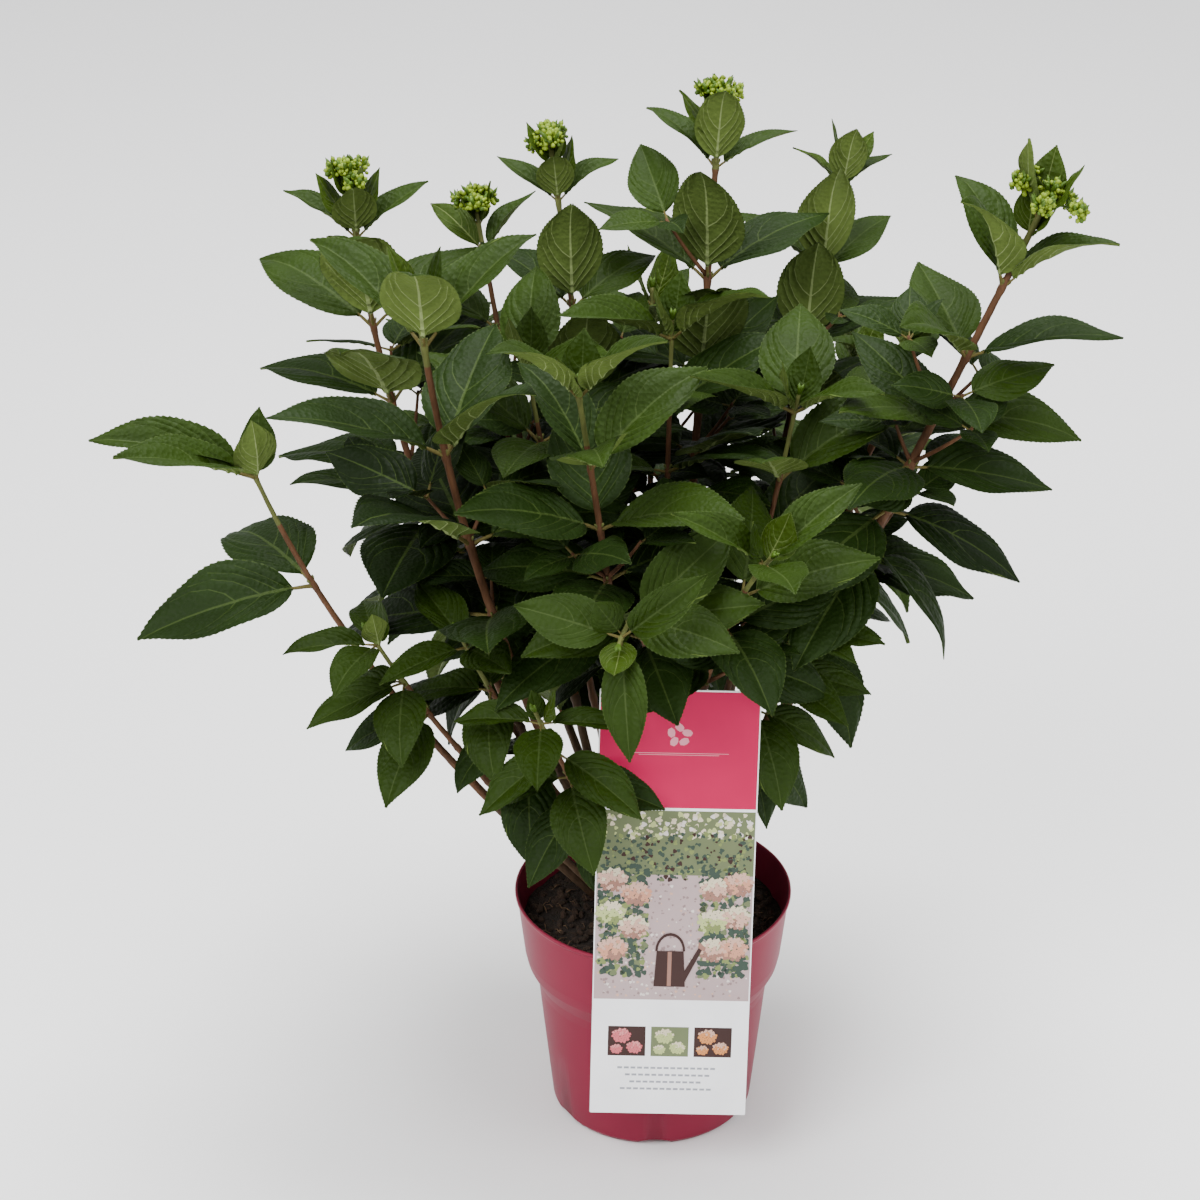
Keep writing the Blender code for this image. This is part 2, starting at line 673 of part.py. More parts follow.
def main():
    for old in list(bpy.data.objects):
        bpy.data.objects.remove(old)
    pot, soil, card = make_pot(), make_soil(), make_card()

    paths = {}
    for name, foot in feet().items():
        shoot = next(s for s in SHOOTS if s.name == name)
        paths[name] = Path(shoot_path(shoot, foot))

    crown_outline = [(SOIL_TOP + GAP + height, radius) for height, radius in CROWN_OUTLINE]
    crown_pieces = [turned(crown_outline, CROWN_SIDES, 0.07)]
    boughs = []
    for shoot in SHOOTS:
        path = paths[shoot.name]
        crown_pieces.append(shoot_tube(shoot, path, 0, STUB_LENGTH, 1, BOUGH_SIDES))
        boughs.append(mesh_object("bough_" + shoot.name, *shoot_tube(
            shoot, path, STUB_LENGTH + GAP, shoot.bare * path.length, 4, BOUGH_SIDES)))
    crown = united("woody_crown", crown_pieces)

    space = Space()
    for body in (pot, soil, card, crown):
        space.add(solid_of(body), body.name)
    rngs = [random.Random(100 + i) for i in range(len(SHOOTS))]
    tips = []
    for shoot, rng in zip(SHOOTS, rngs):
        path = paths[shoot.name]
        space.add(shoot_tube(shoot, path, STUB_LENGTH, path.length, 24, 5), shoot.name)
        tips.append(tip_pieces(shoot, path.at(path.length), path.heading(path.length), rng))
        for piece in tips[-1]:
            space.add(piece, shoot.name)
    masses = [make_mass(shoot, space, paths[shoot.name], tip, rng)
              for shoot, tip, rng in zip(SHOOTS, tips, rngs)]

    clothe([pot], material("pot", 0.42), True)
    clothe([soil], material("soil", 0.95), False)
    clothe([card], material("card", 0.35), False)
    clothe([crown, *boughs], material("wood", 0.7), True)
    clothe(masses, material("leaf", 0.5), False)


main()
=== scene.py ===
"""The looks of a young panicle hydrangea in its nursery pot, with the picture card that hooks over the rim.

Metres, +Z up, origin at the middle of the pot's flat underside, the card on the -Y side.
The shoots grow by the same seeded rule as the solids they replace. Here each leaf has its veins, quilting and
toothed edge, the shoots have bark with nodes and axil buds, and finer side twigs fill the masses further.
"""

import math
import random
from collections import namedtuple

import bpy
import numpy as np
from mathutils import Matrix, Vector, noise
from mathutils.bvhtree import BVHTree


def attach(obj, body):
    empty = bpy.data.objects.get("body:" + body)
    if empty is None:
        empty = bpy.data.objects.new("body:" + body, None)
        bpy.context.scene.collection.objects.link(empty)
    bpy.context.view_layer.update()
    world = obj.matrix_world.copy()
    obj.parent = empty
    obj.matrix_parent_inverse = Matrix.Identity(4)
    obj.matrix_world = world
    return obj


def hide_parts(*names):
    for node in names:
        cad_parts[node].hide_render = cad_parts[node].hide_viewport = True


UP = Vector((0, 0, 1))
FRONT = Vector((0, -1, 0))

# The pot, turned: (height, outer radius) from the underside to the rim, and how each corner is rounded
POT_OUTLINE = ((0, 0.0665), (0.0035, 0.0695), (0.060, 0.0755), (0.094, 0.0790), (0.102, 0.0808),
               (0.114, 0.0868), (0.122, 0.0886), (0.158, 0.0928), (0.164, 0.0934), (0.1655, 0.0950),
               (0.168, 0.0950))
POT_FLOOR, POT_UNDERSIDE, FOOT_INNER = 0.0055, 0.0002, 0.030
POT_INSIDE = ((0.168, 0.0932), (0.122, 0.0868), (0.094, 0.0772), (POT_FLOOR, 0.0679))
POT_CORNER = 0.0009
POT_SIDES = 160
FOOT_NOTCHES, FIRST_NOTCH = 6, -math.pi / 2 + 0.02
NOTCH_HALF_TURN, NOTCH_HEIGHT, NOTCH_FROM = 0.17, 0.0052, 0.060

SOIL_TOP, SOIL_RADIUS, SOIL_SKIRT = 0.143, 0.0893, 0.128
SOIL_RINGS, SOIL_SIDES = 26, 110
SOIL_ROUGH = ((0.0022, 60), (0.0018, 210), (0.0010, 600))  # heights and scales
CRUMBS, FIBRES = 620, 150
CROWN_OUTLINE = ((0.0, 0.036), (0.004, 0.031), (0.012, 0.027), (0.020, 0.022), (0.025, 0.012))
CROWN_SIDES, CROWN_RINGS = 40, 16
FOOT_RINGS = (0.010, 0.0225)
SPREADING_REACH = 0.165
FOOT_HEIGHT = 0.006
STUB_LENGTH = 0.034

CARD_WIDTH, CARD_LENGTH, CARD_THICK, CARD_CORNER = 0.105, 0.307, 0.0010, 0.001
CARD_BELOW_RIM = 0.112
CARD_LEAN, CARD_ROLL = math.radians(8), math.radians(1.3)
CARD_AT = Vector((0.0115, -0.0985, 0.170))
ACROSS = 2 / CARD_WIDTH  # the card's places across run from -1 to 1
TONGUE_WIDTH, TONGUE_THICK, TONGUE_BACK_Y = 0.034, 0.0010, -0.0826
PRINT_LEVEL, PRINT_STEP, PRINT_STEPS = 0.00005, 0.000003, 16  # heights of the card's inks
POMPOM_FLORETS, LOBE_DEPTH = 46, 0.16
PRINT_HALF, HEADER_FOOT, PICTURE_TOP, PICTURE_FOOT = 0.985, 0.083, 0.085, 0.222
MARK_SPACE = 0.085

# The shoots: tip in metres, how far out and up the path's middle control point bows, radius at the foot, bare
# share of the path, leaf size, distance of the first whorl from the tip, space between whorls, twist of the
# first whorl (0 faces the front, 90 the right), turn from whorl to whorl, leaves in a whorl, how much (in
# degrees) its young leaves rise and its old ones fall, how much steeper those that face the front stand, how
# far its leaves sweep outwards (0 to 1), and what is at the tip: "panicle" and "bloom" flower buds, a leaf
# "bud", or "open" leaves
Shoot = namedtuple(
    "Shoot", "name tip out up thick bare leaf first space twist turn whorl rise steep sweep crown")
SHOOTS = [Shoot(*row) for row in (
    ("centre_tall", (.042, .12, .699), 0, 0, .004, .42, .92, .048, .075, 0, 0, 3, 0, 92, 0, "bloom"),
    ("right", (.244, 0, .676), 0, 0, .0046, .48, .88, .066, .052, 320, 0, 3, 34, 44, 0, "panicle"),
    ("left_front", (-.15, -.05, .63), .05, 0, .0042, .4, 1.08, .036, .078, 0, 40, 3, 0, 88, 0, "open"),
    ("far_left", (-.261, -.03, .507), .06, 0, .0034, .7, 1.06, .012, .086, 262, 60, 2, 0, 0, .8, "open"),
    ("centre_left", (-.069, .11, .671), 0, .02, .0036, .44, .78, .04, .072, 0, 0, 3, 0, 92, 0, "bloom"),
    ("right_back", (.133, .195, .632), 0, .02, .0036, .44, .74, .026, .06, 0, 0, 3, 0, 92, 0, "bud"),
    ("left_back", (-.2, .1, .65), .08, .01, .0036, .42, .98, .042, .062, 0, 0, 3, 10, 80, 0, "bloom"),
    ("left_mid", (-.12, .15, .612), .02, .02, .0034, .46, .86, .034, .054, 0, 0, 3, 4, 80, 0, "bloom"),
    ("centre_front", (-.051, -.09, .59), 0, .03, .0036, .46, .9, .012, .056, 60, 60, 3, 16, 0, 0, "open"),
    ("low_front", (-.025, -.17, .45), -.08, .15, .0032, .62, .76, .01, .04, 64, 60, 3, 12, 0, 0, "open"),
    ("front_right", (.07, -.13, .49), -.03, .07, .0032, .5, .8, .014, .044, 20, 60, 3, 0, 0, .2, "open"),
    ("right_mid", (.165, .05, .56), .02, .02, .0034, .48, .9, .028, .052, 20, 60, 3, 0, 0, 0, "bud"),
    ("inner_left", (-.085, .02, .56), .01, .02, .003, .46, .9, .014, .05, 50, 60, 3, 0, 0, 0, "open"),
    ("inner_mid", (.01, .03, .58), 0, .03, .003, .46, .9, .014, .05, 60, 60, 3, 0, 0, 0, "open"),
    ("inner_right", (.09, -.02, .55), .01, .02, .003, .46, .9, .014, .05, 50, 60, 3, 0, 0, 0, "open"),
    ("low_right", (.095, -.05, .405), .02, .07, .003, .45, .6, .014, .038, 60, 60, 3, 0, 0, .7, "open"),
    ("low_left", (-.186, -.06, .4), .03, .01, .003, .66, .66, .012, .034, 250, 50, 3, 0, 0, .6, "open"),
    ("low_mid", (-.078, -.115, .372), .03, .05, .003, .4, .62, .014, .034, 0, 60, 3, 0, 0, .3, "open"),
    ("low_side", (-.128, -.06, .4), .03, .04, .003, .45, .7, .014, .04, 300, 60, 3, 0, 0, .3, "open"),
    ("back_left", (-.15, .225, .49), .05, .03, .0034, .42, .95, .028, .052, 0, 60, 3, 0, 0, 0, "bud"),
    ("back_mid", (0, .245, .51), .05, .03, .0034, .42, .95, .028, .052, 20, 60, 3, 0, 0, 0, "bud"),
    ("back_right", (.145, .215, .48), .05, .03, .0034, .42, .95, .028, .052, 34, 60, 3, 0, 0, 0, "bud"),
    ("low_back", (.05, .17, .34), .04, .01, .0028, .44, .76, .028, .044, 30, 60, 3, 0, 0, 0, "bud"),
)]
TIP_SHARE = 0.42  # a shoot's radius at its tip over that at its foot
SHOOT_RINGS = 25
HEAD_RADIUS, HEAD_HEIGHT = 0.006, 0.008
SIDE_HEADS = {"panicle": (0.021, 5), "bloom": (0.0095, 3)}  # how far from the tip and how many
LOWEST_WHORL = 0.014  # above the start of the mass
CLOSING = 0.86  # each space between whorls over the one above it
HANG_HEIGHT, HANG_RANGE = 0.47, 0.16  # leaves below this height hang, all of them a range lower
LEAF_LENGTH = 0.118
YOUNG_RANGE, OLD_FROM, OLD_RANGE, OLD_LACK = 0.036, 0.24, 0.2, 0.22  # young and old leaves are shorter
YOUNG_LACKS = {"panicle": 0.014, "bloom": 0.050, "bud": 0.054, "open": 0.018}  # by what is at the tip
LEVELLING = 0.7  # how far a leaf rises from the level rather than from square to its stem
TURNING = 0.5  # how far a level leaf turns its face to the light
LIGHT = Vector((0, -0.38, 0.92)).normalized()  # the plant has grown towards the front
LIFT, LIFT_LOSS, LOW_LIFT_LOSS = 41, 65, 52  # degrees, degrees per metre below the tip, and low in the shade
STEEP_RANGE, STEEPEST, LOWEST_LIFT = 0.16, 80, -34
DROOP, YOUNG_DROOP_LACK, DROOP_RANGE, LOW_DROOP = 34, 24, 0.08, 12
FOLD_RANGE = 0.06  # over which the side leaves open
SWEEP_RANGE = 0.3
RISE_RANGE = 0.12  # a shoot's rise lifts its leaves above here and lowers those below
FRONT_GAIN = 0.07  # how much longer the leaves at the front are
LEAF_WIDTH, LEAF_THICK, PETIOLE = 0.52, 0.014, 0.12  # of its length
PETIOLE_RADIUS = 0.0006
STALK_SHAPE = (1.35, 1.0, 0.9, 0.85, 0.55)  # the petiole's radii from its foot on, over its width
LEAF_STATIONS, BLADE_STATIONS = (0.0, 0.30, 0.62), (0.18, 0.30, 0.62)
CLEARANCE = 0.0007
PATH_STEPS = 64

# Side twigs: from how far below the tip and how often, their lengths, their leaves' lengths and how many. The
# solids have the first kind. The second, in the axils of older leaves, is finer growth.
Twig = namedtuple("Twig", "lengths sizes leaves")
SIDE_TWIG_FROM, SIDE_TWIG_CHANCE, SIDE_TWIG = 0.14, 0.30, Twig((0.032, 0.058), (0.048, 0.064), 3)
FINE_TWIG_FROM, FINE_TWIG_CHANCE, FINE_TWIG = 0.12, 0.75, Twig((0.020, 0.054), (0.044, 0.078), 4)
FLORETS, BRACTS = 64, 5  # in each head
FLORET_SIZES, FLORET_REACH = (0.0011, 0.0020), 0.0072
BRACT_SIZES = {"panicle": (0.044, 0.058), "bloom": (0.026, 0.034)}
BRACT_BEARINGS = (80, 175, 270)

# A leaf's mesh: where each lateral vein leaves the midrib and where it would meet the margin, how many rows
# lie before each vein, and the columns across. The veins arch forward along the margin.
VEINS = ((0.02, 0.40), (0.09, 0.60), (0.20, 0.75), (0.36, 0.87))
ROWS_BEFORE = (8, 5, 4, 4, 4)
VEIN_HALF, VEIN_DEPTH = 0.0060, 0.0050
RIB_HALF, RIB_TIP_HALF, RIB_DEPTH = 0.0110, 0.0022, 0.0085
COLUMNS = (-1.0, -0.85, -0.66, -0.46, -0.24, -0.05, 0.05, 0.24, 0.46, 0.66, 0.85, 1.0)
QUILT = 0.0150  # height of the blade between veins, of the leaf's length
GROOVE = 0.0045  # depth of the midrib's groove, of the leaf's length
SHEET = 0.0004
TOOTH, TOOTH_AT, WIDEST_TOOTH = 0.24, 0.78, 0.035  # height over width, place of the point, of the length
ARCH, ARCH_FROM = 0.78, 0.44  # how far (radians) and from where the tip of an upright leaf arches outwards
FOLD = 30  # how much further (degrees) the narrow leaves at a shoot's sides are folded

LEAF_SLOTS = ("leaf_young", "leaf_fresh", "leaf_mature", "leaf_old", "underside_young", "underside_old",
              "vein_young", "vein_above", "vein_below", "petiole")
# A leaf's blade, veins and underside (its own paler tone with painted light added), young, fresh, mature and
# old
LEAF_AGES = (("leaf_young", "vein_young", "underside_young"), ("leaf_fresh", "vein_above", "underside_young"),
             ("leaf_mature", "vein_above", "underside_old"), ("leaf_old", "vein_above", "underside_old"))
AGES = (0.055, 0.15, 0.27)  # distances below the tip where a leaf turns fresh, mature and old
OLDER = {"panicle": 0.01, "bloom": 0.01, "bud": 0.03, "open": 0.06}  # what the crown adds to these distances

# Base colours, linear
COLOURS = {
    "leaf_young": (0.027, 0.050, 0.0038),
    "leaf_fresh": (0.0162, 0.0335, 0.0026),
    "leaf_mature": (0.0098, 0.0226, 0.0026),
    "leaf_old": (0.0055, 0.0128, 0.0020),
    # The undersides have their own paler tone, brightened further by painted light that stands in for the
    # light the lamps above don't give them
    "underside_young": (0.078, 0.114, 0.024),
    "underside_old": (0.062, 0.093, 0.020),
    "vein_young": (0.096, 0.128, 0.036),
    "vein_above": (0.034, 0.056, 0.012),
    "vein_below": (0.170, 0.215, 0.080),
    "petiole": (0.098, 0.082, 0.025),
    "bark_old": (0.056, 0.033, 0.018),
    "bark_red": (0.088, 0.040, 0.019),
    "bark_green": (0.084, 0.092, 0.025),
    "floret": (0.168, 0.244, 0.017),
    "bract": (0.050, 0.097, 0.0084),
    "pot": (0.186, 0.014, 0.035),
    "soil": (0.020, 0.012, 0.0081),
    "crumb": (0.036, 0.020, 0.012),
    "fibre": (0.128, 0.072, 0.038),
    "card": (0.860, 0.860, 0.880),
    "card_header": (0.454, 0.0084, 0.067),
    "card_petal": (0.638, 0.252, 0.311),
    "card_leafy": (0.126, 0.151, 0.076),
    "card_moss": (0.176, 0.218, 0.076),
    "card_deep": (0.042, 0.063, 0.049),
    "card_dark": (0.042, 0.022, 0.020),
    "card_gravel": (0.395, 0.302, 0.302),
    "card_stone": (0.252, 0.176, 0.176),
    "card_pale": (0.622, 0.571, 0.538),
    "card_blush": (0.538, 0.336, 0.260),
    "card_dusk": (0.277, 0.143, 0.109),
    "card_peach": (0.521, 0.252, 0.168),
    "card_cream": (0.588, 0.521, 0.370),
    "card_lime": (0.403, 0.454, 0.185),
    "card_pink": (0.538, 0.126, 0.143),
    "card_rose": (0.605, 0.218, 0.218),
    "card_orange": (0.571, 0.227, 0.076),
    "card_rule": (0.277, 0.286, 0.319),
    "floor": (0.900, 0.900, 0.905),
}

# How surfaces are finished, by how their names start: roughness, gloss, strength, scale and depth of the fine
# relief, and how much and at what scale the brightness changes
FINISHES = (
    (("leaf", "vein_young", "vein_above", "petiole"), (0.54, 0.09, 0.65, 340, 0.0009, 0.16, 26)),
    (("underside", "vein_below"), (0.65, 0.06, 0.65, 340, 0.0009, 0.16, 26)),
    (("bark",), (0.66, 0.15, 0.70, 900, 0.0006, 0.30, 220)),
    (("floret", "bract"), (0.50, 0.20, 0.30, 900, 0.0003, 0.25, 120)),
    (("pot",), (0.40, 0.11, 0.10, 1500, 0.0003, 0.05, 14)),
    (("soil", "crumb", "fibre"), (0.95, 0.50, 1.00, 500, 0.002, 0.50, 180)),
    (("card",), (0.42, 0.10, 0.04, 60, 0.0005, 0.04, 30)),
    (("floor",), (0.90, 0.50, 0, 0, 0, 0.004, 2)),
)
BARK_STRETCH = 0.25

WORLD_LIGHT = 0.80
# Where each lamp hangs, its width and its power
LAMPS = (("key", (-1.3, -1.9, 2.6), 1.6, 105),
         ("fill", (1.9, -1.6, 1.9), 1.8, 48),
         ("top", (0.1, 0.5, 2.9), 1.6, 132))
LIT_POINT = Vector((0, 0, 0.4))
FLOOR_HALF, FLOOR_DROP = 6, 0.0005
CAMERA_AT, CAMERA_DOWN, LENS, SENSOR = (-0.036486, -2.197681, 1.557316), 27.951, 112.979, 36


# ---- Materials ----

def surface(name, roughness, gloss, bump, scale, depth, mottle, mottle_scale):
    """A Principled surface that changes slowly in brightness. Its relief is grainy, or netted on leaves."""
    made = bpy.data.materials.new(name)
    made.use_nodes = True
    nodes, link = made.node_tree.nodes, made.node_tree.links.new

    def add(kind, **constants):
        node = nodes.new("ShaderNode" + kind)
        for socket, value in constants.items():
            node.inputs[socket].default_value = value
        return node

    shader = nodes["Principled BSDF"]
    shader.inputs["Roughness"].default_value = roughness
    shader.inputs["Specular IOR Level"].default_value = gloss
    place = add("TexCoord")
    turned = add("Mapping", Scale=(1, 1, BARK_STRETCH if name.startswith("bark") else 1))
    cloud = add("TexNoise", Scale=mottle_scale, Detail=3)
    ramp = add("ValToRGB")
    for stop, position, light in zip(ramp.color_ramp.elements, (0.3, 0.7), (1 - mottle, 1 + mottle)):
        stop.position = position
        stop.color = (*(min(c * light, 1) for c in COLOURS[name]), 1)
    link(place.outputs["Object"], turned.inputs["Vector"])
    link(turned.outputs["Vector"], cloud.inputs["Vector"])
    link(cloud.outputs["Fac"], ramp.inputs["Fac"])
    link(ramp.outputs["Color"], shader.inputs["Base Color"])
    if bump:
        netted = name in LEAF_SLOTS
        grain = add("TexVoronoi" if netted else "TexNoise", Scale=scale, Detail=0 if netted else 2)
        relief = add("Bump", Strength=bump, Distance=depth)
        link(turned.outputs["Vector"], grain.inputs["Vector"])
        link(grain.outputs["Distance" if netted else "Fac"], relief.inputs["Height"])
        link(relief.outputs["Normal"], shader.inputs["Normal"])
    return made


def make_materials():
    return {name: surface(name, *next(finish for starts, finish in FINISHES if name.startswith(starts)))
            for name in COLOURS}


# ---- Joined meshes ----

class Batch:
    """Points and faces gathered from many small pieces, joined as one mesh."""

    def __init__(self, slots):
        self.slots = slots
        self.points, self.count = [], 0
        self.faces, self.face_slots = {4: [], 3: []}, {4: [], 3: []}

    def add(self, points, *faces):
        """Each of faces is rows of quads or triangles, with one slot for all or one for each."""
        self.points.append(np.asarray(points, float).reshape(-1, 3))
        for rows, slots in faces:
            rows = np.asarray(rows, np.int64)
            self.faces[rows.shape[1]].append(rows + self.count)
            self.face_slots[rows.shape[1]].append(np.broadcast_to(slots, len(rows)))
        self.count += len(self.points[-1])

    def slot(self, name):
        return self.slots.index(name)

    def build(self, name, materials, smooth=True):
        quads, tris = (np.concatenate(self.faces[corners] or [np.zeros((0, corners), int)])
                       for corners in (4, 3))
        slots = np.concatenate(self.face_slots[4] + self.face_slots[3])
        totals = np.repeat((4, 3), (len(quads), len(tris)))
        mesh = bpy.data.meshes.new(name)
        mesh.vertices.add(self.count)
        mesh.vertices.foreach_set("co", np.concatenate(self.points).astype(np.float32).ravel())
        mesh.loops.add(int(totals.sum()))
        mesh.loops.foreach_set("vertex_index", np.concatenate([quads.ravel(), tris.ravel()]).astype(np.int32))
        mesh.polygons.add(len(totals))
        mesh.polygons.foreach_set("loop_start", (np.cumsum(totals) - totals).astype(np.int32))
        mesh.polygons.foreach_set("material_index", slots.astype(np.int32))
        mesh.update(calc_edges=True)
        mesh.polygons.foreach_set("use_smooth", np.full(len(totals), smooth))
        for slot in self.slots:
            mesh.materials.append(materials[slot])
        return linked(name, mesh)


def linked(name, content):
    """An object of the scene that shows this mesh, lamp or camera."""
    found = bpy.data.objects.new(name, content)
    bpy.context.scene.collection.objects.link(found)
    return found


def ring_quads(rings, sides, first=0):
    """Quads between consecutive closed rings of points."""
    i, j = np.meshgrid(np.arange(rings - 1), np.arange(sides), indexing="ij")
    a, b = i * sides + j, i * sides + (j + 1) % sides
    return np.stack([a, b, b + sides, a + sides], -1).reshape(-1, 4) + first


def fan(first, sides, middle):
    """Triangles from a ring of points to its middle."""
    j = np.arange(sides)
    return np.stack([first + (j + 1) % sides, first + j, np.full(sides, middle)], -1)


def caps(rings, sides):
    """Triangles over both ends of a tube, to two middles that follow the points of its rings."""
    count = rings * sides
    return np.concatenate([fan(0, sides, count), fan(count - sides, sides, count + 1)[:, ::-1]])


def around(radius, height, sides):
    """Points round the upright axis."""
    turns = np.linspace(0, 2 * math.pi, sides, endpoint=False)
    return [(radius * math.cos(turn), radius * math.sin(turn), height) for turn in turns]


def tube_points(path, radii, sides):
    """Rings square to a path. radii holds a radius for each ring, or one for each point of each ring."""
    path = np.asarray(path, float)
    along = np.gradient(path, axis=0)
    along /= np.linalg.norm(along, axis=1)[:, None]
    turns = np.linspace(0, 2 * np.pi, sides, endpoint=False)
    radii = np.broadcast_to(np.asarray(radii, float).reshape(len(path), -1), (len(path), sides))
    rings = []
    across = np.array([1.0, 0, 0]) if abs(along[0, 0]) < 0.9 else np.array([0, 1.0, 0])
    for point, heading, radius in zip(path, along, radii):
        across = across - across.dot(heading) * heading
        across /= np.linalg.norm(across)
        over = np.cross(heading, across)
        ring = np.cos(turns)[:, None] * across + np.sin(turns)[:, None] * over
        rings.append(point + radius[:, None] * ring)
    return np.concatenate(rings)


def add_tube(batch, path, radii, sides, slot):
    """A closed tapering tube: slot is one slot, or one for each ring."""
    points = np.concatenate([tube_points(path, radii, sides), np.asarray([path[0], path[-1]], float)])
    slots = np.broadcast_to(slot, len(path))
    batch.add(points, (ring_quads(len(path), sides), np.repeat(slots[:-1], sides)),
              (caps(len(path), sides), slots[-1]))


def ball(rings=3, sides=6):
    """Points and faces of a small round body of radius 1."""
    points = [(0, 0, -1)]
    for i in range(1, rings):
        angle = math.pi * i / rings
        points += around(math.sin(angle), -math.cos(angle), sides)
    points.append((0, 0, 1))
    last = len(points) - 1
    tris = np.concatenate([fan(1, sides, 0), fan(last - sides, sides, last)[:, ::-1]])
    return np.array(points, float), ring_quads(rings - 1, sides, 1), tris


BALL = ball()


def add_ball(batch, centre, heading, radius, length, slot):
    """A round or pointed body along a heading."""
    heading = np.asarray(heading, float)
    heading = heading / np.linalg.norm(heading)
    across = np.cross(heading, (0.3, 0.5, 0.81))
    across /= np.linalg.norm(across)
    over = np.cross(heading, across)
    shape, quads, tris = BALL
    points = (np.asarray(centre, float) + radius * shape[:, :1] * across + radius * shape[:, 1:2] * over
              + length * shape[:, 2:] * heading)
    batch.add(points, (quads, slot), (tris, slot))


# ---- The rule by which the shoots grow ----

def feet():
    """Where each shoot rises from the crown: on two rings, in the order of the shoots' own bearings."""
    found = {}
    for spreading, radius in enumerate(FOOT_RINGS):
        ringed = [s for s in SHOOTS if (math.hypot(*s.tip[:2]) > SPREADING_REACH) == bool(spreading)]
        ringed.sort(key=lambda s: math.atan2(s.tip[1], s.tip[0]))
        step = 2 * math.pi / len(ringed)
        bearings = [math.atan2(s.tip[1], s.tip[0]) for s in ringed]
        first = sum(b - i * step for i, b in enumerate(bearings)) / len(ringed)
        for i, shoot in enumerate(ringed):
            turn = first + i * step
            found[shoot.name] = Vector((radius * math.cos(turn), radius * math.sin(turn),
                                        SOIL_TOP + FOOT_HEIGHT))
    return found


class Path:
    """A shoot's curved path, read by its length from the foot."""

    def __init__(self, shoot, foot):
        tip = Vector(shoot.tip)
        outward = Vector((tip.x, tip.y, 0)).normalized()
        middle = (foot + tip) / 2 + shoot.out * outward + shoot.up * UP
        self.points = []
        for i in range(PATH_STEPS + 1):
            t = i / PATH_STEPS
            self.points.append((1 - t) ** 2 * foot + 2 * t * (1 - t) * middle + t * t * tip)
        self.marks = [0.0]
        for a, b in zip(self.points, self.points[1:]):
            self.marks.append(self.marks[-1] + (b - a).length)
        self.length = self.marks[-1]

    def at(self, distance):
        distance = min(max(distance, 0), self.length)
        for i in range(len(self.points) - 1):
            if distance <= self.marks[i + 1] or i == len(self.points) - 2:
                share = (distance - self.marks[i]) / (self.marks[i + 1] - self.marks[i])
                return self.points[i].lerp(self.points[i + 1], share)

    def heading(self, distance):
        return (self.at(distance + 0.004) - self.at(distance - 0.004)).normalized()


def shoot_radius(shoot, path, distance):
    return shoot.thick * (1 - (1 - TIP_SHARE) * distance / path.length)


Leaf = namedtuple("Leaf", "root along normal length droop width")


def closed_tube(points, radii, sides):
    """Points and faces of a plain tube, for the test of what is free."""
    faces = [tuple(range(sides))[::-1]] + [tuple(quad) for quad in ring_quads(len(points), sides)]
    faces.append(tuple(range((len(points) - 1) * sides, len(points) * sides)))
    return [Vector(point) for point in tube_points(points, radii, sides)], faces


def leaf_hull(leaf, stations=LEAF_STATIONS, swell=0.0):
    """A closed wedge round the leaf, for the test of what is free."""
    side = leaf.along.cross(leaf.normal)
    thick = LEAF_THICK * leaf.length + swell
    points = []
    for u in stations:
        point, upper = leaf_rib(leaf, u)
        half = half_width(leaf, u) + swell
        depth = max(thick, PETIOLE_RADIUS * 1.8) if u <= PETIOLE else thick
        points += [point + half * side + depth / 3 * upper, point - 2 * depth / 3 * upper,
                   point - half * side + depth / 3 * upper]
    points.append(leaf_rib(leaf, 1)[0])
    last = len(points) - 4
    faces = [(2, 1, 0)] + [tuple(quad) for quad in ring_quads(len(stations), 3)]
    faces += [(last + j, last + (j + 1) % 3, last + 3) for j in range(3)]
    return points, faces


def half_width(leaf, u):
    if u <= PETIOLE:
        return PETIOLE_RADIUS
    v = (u - PETIOLE) / (1 - PETIOLE)
    oval = v**0.6 * (1 - v) ** 0.95 / 0.3555
    return max(PETIOLE_RADIUS, leaf.width / 2 * leaf.length * oval)


def leaf_rib(leaf, u):
    """Point and upper side of the midrib at the share u of the leaf's length."""
    steps = 8
    point = leaf.root.copy()
    heading = leaf.along
    for i in range(steps):
        bend = leaf.droop * u * (i + 0.5) / steps
        heading = math.cos(bend) * leaf.along - math.sin(bend) * leaf.normal
        point = point + heading * (leaf.length * u / steps)
    return point, leaf.along.cross(leaf.normal).cross(heading)


def sideways(heading, bearing):
    """The direction off a stem of this heading at a bearing round it: 0 faces the front."""
    front = (FRONT - FRONT.dot(heading) * heading).normalized()
    return math.cos(bearing) * front + math.sin(bearing) * heading.cross(front)


def leaf_at(root, heading, bearing, lift, roll, length, droop, width):
    """A leaf that leaves a stem of this heading at a bearing round it, lifted towards its tip."""
    across = sideways(heading, bearing)
    along = (math.cos(lift) * across + math.sin(lift) * heading).normalized()
    outward = Vector((across.x, across.y, 0))
    if outward.length > 0.3:
        level = math.cos(lift) * outward.normalized() + math.sin(lift) * UP
        along = along.lerp(level, LEVELLING).normalized()
    inner = (math.cos(lift) * heading - math.sin(lift) * across).normalized()
    lit = LIGHT - LIGHT.dot(along) * along
    normal = inner.lerp(lit.normalized(), TURNING * (1 - along.z**2))
    normal = (normal - normal.dot(along) * along).normalized()
    normal = math.cos(roll) * normal + math.sin(roll) * along.cross(normal)
    return Leaf(root, along, normal, length, droop, width)


